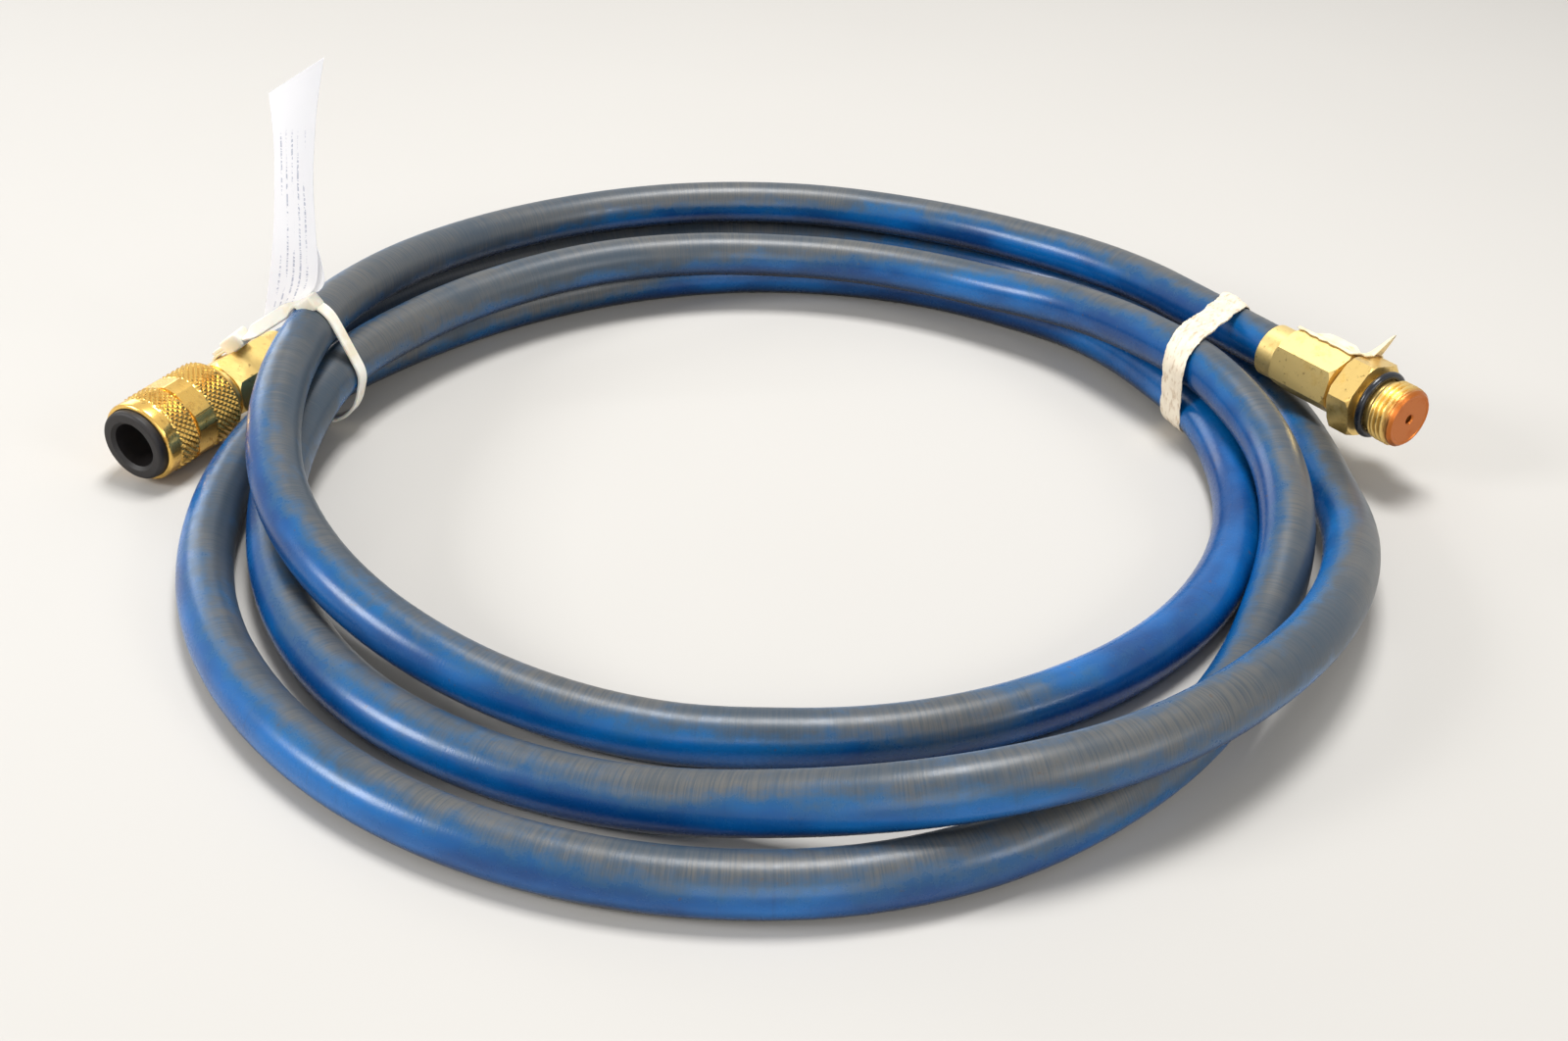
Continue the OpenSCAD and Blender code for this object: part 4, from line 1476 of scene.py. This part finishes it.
class LoopAround:
    """A closed line drawn tight round sections of the coil, in an upright plane."""

    def __init__(self, route: Route, angle: float, circles: Sequence[tuple[Vector, float]],
                 offset: float = 0.0, slant: float = 0.0) -> None:
        """Sets the plane and what the loop goes round.

        Args:
            route: The hose's route.
            angle: The plane's heading, in degrees.
            circles: What it goes round, as middles in (distance, height) and radii.
            offset: The plane's distance from the coil's middle, in millimetres.
            slant: The angle at which the hose passes through, from square, in degrees.
        """
        self.route = route
        self.out = route.heading(angle)
        self.across = Vector((-self.out.y, self.out.x, 0.0))
        self.circles = circles
        self.offset = offset
        self.shear = math.tan(math.radians(slant))
        self.widen = 1 / math.cos(math.radians(slant))

    def spot(self, reach: float, height: float, across: float = 0.0) -> Vector:
        """The point at a reach, a height and a distance in front of the plane, in metres."""
        p = self.out * (reach + self.shear * across) + self.across * (self.offset + across)
        return self.route.placed(Vector((p.x, p.y, height)))

    def support(self, towards: Vector) -> Vector:
        """The point of what the loop goes round that lies furthest in a direction.

        Args:
            towards: The direction, as a unit vector.

        Returns:
            The point, as (distance, height).
        """
        wide = Vector((self.widen ** 2 * towards.x, towards.y))
        wide /= math.sqrt(wide.dot(towards))
        return max((c + wide * r for c, r in self.circles), key=lambda p: p.dot(towards))

    def outline(self, count: int, rounds: int,
                directions: int = 720) -> list[tuple[Vector, Vector]]:
        """Points at even steps of length round the loop.

        Args:
            count: The number of points.
            rounds: How often each point is smoothed over its neighbours.
            directions: In how many directions the loop's supports are sought.

        Returns:
            Pairs of point and outward direction, in (distance, height).
        """
        angles = (2 * math.pi * k / directions for k in range(directions))
        corners = [self.support(Vector((math.cos(a), math.sin(a)))) for a in angles]
        lengths = [0.0]
        ends = corners[1:] + corners[:1]
        for a, b in zip(corners, ends):
            lengths.append(lengths[-1] + (b - a).length)
        points, k = [], 0
        for i in range(count):
            want = lengths[-1] * i / count
            while lengths[k + 1] < want:
                k += 1
            t = (want - lengths[k]) / max(lengths[k + 1] - lengths[k], 1e-9)
            points.append(corners[k].lerp(ends[k], t))
        for _ in range(rounds):
            points = [(points[i - 1] + points[i] * 2 + points[(i + 1) % count]) / 4
                      for i in range(count)]
        runs = [points[(i + 1) % count] - points[i - 1] for i in range(count)]
        return [(p, Vector((run.y, -run.x)).normalized()) for p, run in zip(points, runs)]


@dataclass
class CableTie:
    """The plastic tie round three turns and the coupling's socket."""

    route: Route
    finish: TiePlastic = TiePlastic()
    angle: float = 165.0
    turns: int = 3
    sharp: float = 40.0

    width: float = 4.4
    thickness: float = 1.1
    gap: float = 0.35
    edge: float = 0.3
    tooth: float = 0.12
    hollow: float = 0.08
    strap_points: int = 240
    rounds: int = 6
    slack_at: tuple[float, float] = (155.5, 17.0)
    slack_r: float = 14.6

    twist: float = 64.0
    twist_from: Span = (157.5, 163.0)
    twist_to: Span = (173.0, 178.5)
    twist_upper: Span = (0.1, 0.5)

    socket_reach: float = 10.3
    socket_at: tuple[float, float] = (180.25, 12.8)
    head: Triple = (7.8, 6.8, 5.0)
    head_at: tuple[float, float] = (181.6, 24.9)
    head_turn: float = -38.0
    head_bevel: float = 0.8
    tail: float = 5.5
    tail_lift: float = 0.9
    tail_bevel: float = 0.25
    fold: Triple = (6.8, 5.4, 4.8)
    fold_at: tuple[float, float] = (153.7, 41.3)
    fold_bevel: float = 0.9

    def loop(self) -> LoopAround:
        """The loop that the strap follows, slack at the foot of its inner side.

        Returns:
            The loop round the turns and the coupling's socket.
        """
        r = self.route.hose_d / 2
        circles = [(self.route.section(self.angle + 360 * k), r) for k in range(self.turns)]
        circles.append((Vector(self.slack_at), self.slack_r))
        socket = Vector(self.socket_at)
        for k in range(6):
            a = math.radians(60 * k + 30)
            corner = socket + Vector((math.cos(a), math.sin(a))) * self.socket_reach
            circles.append((corner, 0.0))
        return LoopAround(self.route, self.angle, circles)

    def turned(self, p: Vector, out: Vector) -> float:
        """The strap's twist where it spans freely, in radians."""
        free = smooth(*self.twist_from, p.x) * (1 - smooth(*self.twist_to, p.x))
        return math.radians(self.twist * free * smooth(*self.twist_upper, out.y))

    def strap(self, loop: LoopAround) -> bmesh.types.BMesh:
        """Makes the closed strap, with rounded edges and a toothed inner face.

        Args:
            loop: The strap's loop.

        Returns:
            The strap's mesh.
        """
        inner, outer = self.gap, self.gap + self.thickness
        half, middle, e = self.width / 2, self.gap + self.thickness / 2, self.edge
        rings = []
        for i, (p, out) in enumerate(loop.outline(self.strap_points, self.rounds)):
            tooth = self.tooth if i % 2 else 0.0
            a = self.turned(p, out)
            shape = [(e - half, inner), (0.0, inner + tooth), (half - e, inner),
                     (half, inner + e), (half, outer - e), (half - e, outer),
                     (0.0, outer - self.hollow), (e - half, outer), (-half, outer - e),
                     (-half, inner + e)]
            shape = [(x * math.cos(a) + (h - middle) * math.sin(a),
                      middle + (h - middle) * math.cos(a) - x * math.sin(a)) for x, h in shape]
            rings.append([loop.spot(p.x + out.x * h, p.y + out.y * h, x) for x, h in shape])
        return Loft(rings).mesh

    def block(self, loop: LoopAround, size: Sequence[float], at: Sequence[float],
              bevel: float) -> bmesh.types.BMesh:
        """A bevelled block in the strap's plane, turned along the strap's free span.

        Args:
            loop: The strap's loop.
            size: Its length along the strap, width and height.
            at: Its middle, as distance and height.
            bevel: The rounding of its edges.

        Returns:
            The block's mesh.
        """
        block = bmesh.new()
        bmesh.ops.create_cube(block, size=1.0)
        bmesh.ops.scale(block, vec=size, verts=block.verts)
        bmesh.ops.bevel(block, geom=list(block.edges), offset=bevel, segments=3,
                        profile=0.5, affect="EDGES", material=-1)
        turn = math.radians(self.head_turn)
        for vert in block.verts:
            x, y, z = vert.co
            vert.co = loop.spot(at[0] + x * math.cos(turn) - z * math.sin(turn),
                                at[1] + x * math.sin(turn) + z * math.cos(turn), y)
        return block

    def build(self) -> bpy.types.Object:
        """Builds and dresses the tie.

        Returns:
            The tie.
        """
        loop = self.loop()
        tie = self.strap(loop)
        turn = math.radians(self.head_turn)
        reach = self.head[0] / 2 + self.tail / 2
        tail_at = (self.head_at[0] + reach * math.cos(turn) - self.tail_lift * math.sin(turn),
                   self.head_at[1] + reach * math.sin(turn) + self.tail_lift * math.cos(turn))
        tail = (self.tail, self.width, self.thickness)
        for size, at, bevel in ((self.head, self.head_at, self.head_bevel),
                                (tail, tail_at, self.tail_bevel),
                                (self.fold, self.fold_at, self.fold_bevel)):
            part = self.block(loop, size, at, bevel)
            scratch = bpy.data.meshes.new("part")
            part.to_mesh(scratch)
            part.free()
            tie.from_mesh(scratch)
            bpy.data.meshes.remove(scratch)
        piece = finish_mesh(tie, "cable_tie_strap", self.sharp)
        return dress(piece, self.finish.material(), Slot.TIE, Body.HOSE, "cable_tie")


@dataclass
class TapeBand:
    """The crepe tape that is wound askew round four turns of the coil."""

    route: Route
    finish: CreasedTape = CreasedTape("band_tape", Grain(1.0, 3.0, 0.6, (7.0, 3.0, 1.0)))
    angle: float = 26.8
    skew: float = 27.0
    square: float = 22.5
    turns: int = 4
    sharp: float = 50.0
    width: float = 9.3
    thickness: float = 0.6
    gap: float = 0.45
    lowest: float = 0.1
    points: int = 300
    rounds: int = 3
    across_steps: int = 18
    crepe_rows: float = 12.0

    edges_apart: float = 9.0
    edge_wander: float = 0.7
    edge_wander_rate: float = 5.0
    edge_thread: float = 0.3
    edge_thread_rate: float = 34.0
    pleat: float = 0.34
    pleat_level: float = 0.55
    pleat_rates: tuple[float, float] = (6.5, 1.5)
    crimp: float = 0.12
    crimp_rates: tuple[float, float] = (4.0, 16.0)
    rim_drop: float = 0.3
    deepest: float = -0.4

    def loop(self) -> LoopAround:
        """The loop that the band follows.

        Returns:
            The loop round the turns, askew to them.
        """
        turn = self.angle + self.skew
        out, across = self.route.heading(turn), self.route.heading(turn + 90.0)
        offset = self.route.centre(self.angle).dot(across)
        slant = turn - self.square
        shear = math.tan(math.radians(slant))
        circles = []
        for k in range(self.turns):
            for shift in (-self.width / 2, 0.0, self.width / 2):
                p = self.route.crossing(self.square + 360 * k, across, offset + shift)
                circles.append((Vector((p.dot(out) - shear * shift, p.z)),
                                self.route.hose_d / 2))
        return LoopAround(self.route, turn, circles, offset, slant)

    def ragged(self, around: Vector, side: int) -> float:
        """How far an edge of the tape strays in a direction round the band.

        Args:
            around: The direction, as a unit vector.
            side: 0 for one edge, 1 for the other.

        Returns:
            The distance in millimetres.
        """
        apart = self.edges_apart * side
        wander = noise.noise(Vector((*(around * self.edge_wander_rate), apart)))
        thread = noise.noise(Vector((*(around * self.edge_thread_rate), apart)))
        return self.edge_wander * wander + self.edge_thread * thread

    def build(self) -> bpy.types.Object:
        """Builds and dresses the band.

        Returns:
            The band.
        """
        loop = self.loop()
        count, n = self.points, self.across_steps
        pleats, crimps = self.pleat_rates, self.crimp_rates
        rings = []
        for i, (p, out) in enumerate(loop.outline(count, self.rounds)):
            a = 2 * math.pi * i / count
            around = Vector((math.cos(a), math.sin(a)))
            shape = []
            for t in (j / n for j in range(n + 1)):
                rim = (abs(t - 0.5) * 2) ** 3
                wave = noise.noise(Vector((t * pleats[0], *(around * pleats[1]))))
                crimp = noise.noise(Vector((t * crimps[0], *(around * crimps[1]))))
                x = (t - 0.5) * self.width + self.ragged(around, round(t)) * rim
                lift = (self.pleat * (wave + self.pleat_level) + self.crimp * crimp
                        - self.rim_drop * rim)
                shape.append((x, self.gap + self.thickness + max(lift, self.deepest)))
            under = [(x, self.gap) for x, _ in reversed(shape)]
            rings.append([loop.spot(p.x + out.x * h, max(p.y + out.y * h, self.lowest), x)
                          for x, h in shape + under])
        loft = Loft(rings, mapped=True)
        sides = 2 * (n + 1)
        loft.unwrap(lambda k, j: (min(j, sides - j) / n, k * self.crepe_rows / count))
        band = finish_mesh(loft.mesh, "wound_tape", self.sharp)
        return dress(band, self.finish.material(), Slot.TAPE, Body.HOSE, "tape_band")


@dataclass(frozen=True)
class Leaf:
    """One layer of the folded paper, in shares of the tag's height and width."""

    name: str
    foot: float = 0.0
    head: float = 1.0
    left: float = 0.0
    right: float = 1.0
    behind: float = 0.0
    flare: float = 0.0


@dataclass
class PaperTag:
    """The folded paper tag that stands up behind the tie."""

    route: Route
    finish: TagPaper = TagPaper()
    angle: float = 165.0
    behind: float = 2.35
    thickness: float = 0.3
    sharp: float = 60.0
    rows: int = 34
    columns: int = 12
    front: Leaf = Leaf("tag_front_leaf")
    back: Leaf = Leaf("tag_back_leaf", 0.1, 0.46, 0.42, 0.97, behind=0.55, flare=0.22)
    cup: float = 1.3
    twist: float = 0.8
    wave: float = 0.35
    wave_rates: tuple[float, float] = (0.09, 0.06)
    wave_from: Span = (0.05, 0.3)
    outer_edge: tuple[tuple[float, float], ...] = (
        (173.4, 27.6), (168.6, 44.0), (165.4, 55.0), (163.1, 64.7), (159.8, 83.6),
        (158.4, 95.0), (158.0, 105.8))
    inner_edge: tuple[tuple[float, float], ...] = (
        (158.4, 39.4), (152.0, 47.0), (149.9, 55.0), (149.3, 63.3), (147.3, 82.1),
        (143.9, 99.0), (138.5, 118.1))

    def edge(self, points: Sequence[tuple[float, float]], t: float) -> Vector:
        """A point on an edge, on the smooth curve through its points.

        Args:
            points: The edge's points, from its foot up.
            t: How far up the edge the point lies, from 0 to 1.

        Returns:
            The point, as (distance, height).
        """
        x = t * (len(points) - 1)
        k = min(int(x), len(points) - 2)
        f = x - k
        p = [Vector(points[max(0, min(len(points) - 1, k + d))]) for d in (-1, 0, 1, 2)]
        return 0.5 * (2 * p[1] + (p[2] - p[0]) * f
                      + (2 * p[0] - 5 * p[1] + 4 * p[2] - p[3]) * f * f
                      + (3 * p[1] - 3 * p[2] + p[3] - p[0]) * f ** 3)

    def sheet(self, loop: LoopAround, leaf: Leaf) -> bpy.types.Object:
        """Makes one layer of the folded paper.

        Args:
            loop: The plane that the tag stands in.
            leaf: The layer.

        Returns:
            The layer's sheet with its wall.
        """
        rows, n, rates = self.rows, self.columns, self.wave_rates
        heights = [leaf.foot + (leaf.head - leaf.foot) * k / rows for k in range(rows + 1)]
        rings = []
        for k, t in enumerate(heights):
            a, b = self.edge(self.outer_edge, t), self.edge(self.inner_edge, t)
            right = leaf.right + leaf.flare * (1 - k / rows)
            ring = []
            for j in range(n + 1):
                s = leaf.left + (right - leaf.left) * j / n
                p = a.lerp(b, s)
                cup = self.cup * t * math.sin(math.pi * s) + self.twist * t * t * (s - 0.5)
                wave = noise.noise(Vector((p.x * rates[0], p.y * rates[1], leaf.behind)))
                wave *= self.wave * smooth(*self.wave_from, t)
                ring.append(loop.spot(p.x, p.y, cup + wave - self.behind - leaf.behind))
            rings.append(ring)
        loft = Loft(rings, closed=False, mapped=True)
        loft.unwrap(lambda k, j: (leaf.left + (leaf.right - leaf.left) * j / n, heights[k]))
        sheet = finish_mesh(loft.mesh, leaf.name, self.sharp)
        thicken(sheet, self.thickness, 0.0)
        return sheet

    def build(self) -> None:
        """Builds and dresses both layers of the tag."""
        loop = LoopAround(self.route, self.angle, [])
        material = self.finish.material()
        dress(self.sheet(loop, self.front), material, Slot.TAG, Body.HOSE, "paper_tag")
        dress(self.sheet(loop, self.back), material, Slot.TAG, Body.HOSE)


@dataclass
class TornTape:
    """The scrap of tape on the far top corner of the threaded end's hexagons."""

    route: Route
    finish: CreasedTape = CreasedTape("scrap_tape", Grain(1.0, 3.0, 0.6, (12.0, 3.0, 1.0)),
                                      shade(240, 228, 196), shade(206, 184, 144))
    gap: float = 0.45
    thickness: float = 0.35
    sharp: float = 60.0
    rows: int = 44
    columns: int = 22
    crepe_rows: float = 1.2

    socket_af: float = 17.5
    socket_turn: float = -10.0
    wrench_af: float = 22.2
    wrench_turn: float = 17.0
    bridge: Span = (27.5, 32.2)

    ridge_at: float = 148.0
    start: float = 7.0
    end: float = 33.4
    near_span: float = 30.0
    far_span: float = 26.0
    tear: float = 2.5
    tear_rate: float = 0.45
    tear_at: tuple[float, float] = (3.0, 1.7)
    fold_width: float = 0.26
    fold_power: float = 1.2
    crumple: float = 0.175
    crumple_rates: tuple[float, float] = (0.5, 6.0)
    crumple_at: float = 4.0

    ridge_h: float = 2.6
    ridge_rise: Span = (8.0, 17.0)
    ridge_dip: float = 0.75
    dip_from: Span = (25.0, 29.5)
    ridge_end: Span = (30.0, 33.0)
    spike_h: float = 7.8
    spike_from: Span = (30.2, 33.4)
    lean: float = 2.0
    lean_from: Span = (29.5, 33.4)

    def surface(self, angle: float, along: float) -> float:
        """The tape's radius where it lies on the brass.

        Args:
            angle: The angle round the threaded end's axis, in degrees.
            along: The distance along the axis.

        Returns:
            The radius.
        """
        low = hexagon_radius(angle - self.socket_turn, self.socket_af)
        high = hexagon_radius(angle - self.wrench_turn, self.wrench_af)
        return low + (high - low) * smooth(*self.bridge, along) + self.gap

    def ridge(self, along: float) -> float:
        """How far the crumpled edge stands off.

        Args:
            along: The distance along the threaded end's axis.

        Returns:
            The edge's height over the rest of the tape.
        """
        rise = smooth(*self.ridge_rise, along)
        dip = 1 - self.ridge_dip * smooth(*self.dip_from, along)
        low = self.ridge_h * rise * dip * (1 - smooth(*self.ridge_end, along))
        return low + self.spike_h * smooth(*self.spike_from, along)

    def ring(self, along: float) -> list[Vector]:
        """One row of the scrap's points.

        Args:
            along: The distance along the threaded end's axis.

        Returns:
            The points, from the near edge to the far one.
        """
        points = []
        for t in (j / self.columns for j in range(self.columns + 1)):
            out = abs(t - 0.5) * 2
            tear = self.tear * out ** 2 * noise.noise(Vector(
                (along * self.tear_rate, self.tear_at[0] * round(t), self.tear_at[1])))
            span = self.near_span if t < 0.5 else self.far_span
            angle = self.ridge_at + (t - 0.5) * 2 * span + tear
            fold = max(0.0, 1 - out / self.fold_width) ** self.fold_power
            crumple = self.crumple * abs(noise.noise(Vector(
                (along * self.crumple_rates[0], t * self.crumple_rates[1], self.crumple_at))))
            r = self.surface(angle, along) + fold * self.ridge(along) + crumple
            lean = fold * smooth(*self.lean_from, along) * self.lean
            a = math.radians(angle)
            points.append(self.route.male_spot
                          @ (Vector((r * math.cos(a), r * math.sin(a), along + lean)) * MM))
        return points

    def build(self) -> bpy.types.Object:
        """Builds and dresses the scrap.

        Returns:
            The scrap.
        """
        rows = self.rows
        loft = Loft([self.ring(self.start + (self.end - self.start) * k / rows)
                     for k in range(rows + 1)], closed=False, mapped=True)
        loft.unwrap(lambda k, j: (j / self.columns, k * self.crepe_rows / rows))
        scrap = finish_mesh(loft.mesh, "tape_scrap", self.sharp)
        thicken(scrap, self.thickness, 1.0)
        return dress(scrap, self.finish.material(), Slot.TAPE, Body.HOSE, "torn_tape")


# ----------------------------------------------------------- carried nodes


@dataclass
class CarriedNodes:
    """The CAD nodes that keep their own shape and get a finish."""

    nodes: dict[str, bpy.types.Object]

    def paint(self, finish: Brass | BlackRubber | Plating, *names: str) -> None:
        """Gives nodes one finish.

        Args:
            finish: The finish.
            *names: The nodes' names.
        """
        material = finish.material()
        for name in names:
            data = self.nodes[name].data
            data.materials.clear()
            data.materials.append(material)
            LOG.info("%s: finish %s", name, material.name)


# ------------------------------------------------------------------ studio


@dataclass(frozen=True)
class Lamp:
    """One soft square lamp, with its place, aim and side in metres and power in watts."""

    name: str
    at: Triple
    size: float
    power: float
    aim: Triple = (0.0, 0.0, 0.0)

    def add(self) -> None:
        """Hangs the lamp in the scene."""
        data = bpy.data.lights.new(self.name, "AREA")
        data.shape = "SQUARE"
        data.size = self.size
        data.energy = self.power
        lamp = bpy.data.objects.new(self.name, data)
        lamp.location = self.at
        lamp.rotation_mode = "QUATERNION"
        lamp.rotation_quaternion = (Vector(self.aim) - Vector(self.at)).to_track_quat("-Z", "Y")
        bpy.context.scene.collection.objects.link(lamp)


@dataclass
class Studio:
    """The camera, the lamps, the world and the floor."""

    route: Route
    camera_at: Triple = (-3.0, -420.75, 264.6)
    pitch_down: float = 32.95
    roll: float = 0.98
    lens: float = 38.34
    sensor: float = 36.0
    clip_start: float = 0.01
    floor: PaleFloor = PaleFloor()
    floor_reach: float = 12.0
    floor_sharp: float = 30.0
    floor_z: float = -0.0004
    world_level: float = 0.32
    lamps: tuple[Lamp, ...] = (
        Lamp("lamp_over", (0.05, 0.25, 1.25), 0.42, 15.0),
        Lamp("lamp_left", (-1.2, -0.35, 0.7), 0.4, 9.0),
        Lamp("lamp_behind", (-1.1, 1.3, 0.6), 0.7, 5.0),
        Lamp("lamp_right", (1.1, -0.8, 0.65), 0.4, 4.5),
        Lamp("lamp_front", (0.1, -1.5, 0.5), 0.9, 5.0, (0.0, 0.0, 0.05)),
    )

    def add_camera(self) -> None:
        """Sets the camera at the viewing angle."""
        data = bpy.data.cameras.new("camera")
        data.lens = self.lens
        data.sensor_width = self.sensor
        data.clip_start = self.clip_start
        camera = bpy.data.objects.new("camera", data)
        camera.matrix_world = (
            Matrix.Translation(self.route.placed(Vector(self.camera_at)))
            @ Matrix.Rotation(math.radians(90 - self.pitch_down), 4, "X")
            @ Matrix.Rotation(math.radians(self.roll), 4, "Z"))
        bpy.context.scene.collection.objects.link(camera)
        bpy.context.scene.camera = camera

    def lay_floor(self) -> None:
        """Lays the floor just under the hose."""
        mesh = bmesh.new()
        bmesh.ops.create_grid(mesh, x_segments=2, y_segments=2, size=self.floor_reach)
        bmesh.ops.translate(mesh, vec=(0.0, 0.0, self.floor_z), verts=mesh.verts)
        floor = finish_mesh(mesh, "studio_floor", self.floor_sharp, outward=False)
        floor.data.materials.append(self.floor.material())

    def light_world(self) -> None:
        """Gives the world its level, and the backdrop's where it is seen or mirrored."""
        world = bpy.data.worlds.new("studio")
        world.use_nodes = True
        bpy.context.scene.world = world
        nodes, links = world.node_tree.nodes, world.node_tree.links
        sky = nodes["Background"]
        sky.inputs["Color"].default_value = self.floor.backdrop
        rays = nodes.new("ShaderNodeLightPath")
        seen = nodes.new("ShaderNodeMath")
        seen.operation = "MAXIMUM"
        links.new(rays.outputs["Is Camera Ray"], seen.inputs[0])
        links.new(rays.outputs["Is Glossy Ray"], seen.inputs[1])
        level = nodes.new("ShaderNodeMath")
        level.operation = "MULTIPLY_ADD"
        links.new(seen.outputs[0], level.inputs[0])
        level.inputs[1].default_value = self.floor.backdrop_level - self.world_level
        level.inputs[2].default_value = self.world_level
        links.new(level.outputs[0], sky.inputs["Strength"])

    def build(self) -> None:
        """Builds the floor, the world and the lamps."""
        self.lay_floor()
        self.light_world()
        for lamp in self.lamps:
            lamp.add()
        bpy.context.scene.view_settings.view_transform = "Standard"


def clear_scene() -> None:
    """Takes out whatever the new file holds."""
    for thing in list(bpy.data.objects):
        bpy.data.objects.remove(thing, do_unlink=True)


def main() -> None:
    """Builds the studio and every piece, in order."""
    logging.basicConfig(level=logging.INFO, format="%(message)s")
    clear_scene()
    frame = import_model()
    route = Route()
    studio = Studio(route)
    studio.add_camera()
    hose_maker = CoiledHose(route)
    hose = hose_maker.build()
    male_turn = math.radians(route.male_heading)
    coupling_turn = math.radians(route.coupling_heading)
    insert = ThreadedInsert(route).build()
    nut = KnurledNut(route, Brass(
        "knurled_brass", coupling_turn, bright=shade(238, 194, 104), roughness=0.13,
        tarnish=shade(186, 136, 58), stain=shade(96, 62, 26))).build()
    CableTie(route).build()
    PaperTag(route).build()
    TapeBand(route).build()
    TornTape(route).build()

    carried = CarriedNodes(frame["nodes"])
    carried.paint(Brass("socket_brass", male_turn, bright=shade(228, 200, 130), metallic=0.6,
                        tarnish=shade(200, 170, 100), stain=shade(140, 110, 62),
                        roughness=0.35), "male_socket")
    carried.paint(Brass("stem_brass", coupling_turn), "coupling_socket", "coupling_stem")
    carried.paint(BlackRubber("seal_rubber", shade(20, 24, 34), shade(50, 56, 70), dusty=0.2,
                              roughness=0.2), "male_o_ring", "stem_o_ring")
    carried.paint(BlackRubber("bush_rubber"), "rubber_bush")
    carried.paint(BlackRubber("liner_rubber", dusty=0.1), "hose_liner")
    carried.paint(Plating(), "thrust_washer", "snap_ring", "backing_washer")
    hose_maker.declare()
    studio.build()


if __name__ == "__main__":
    main()
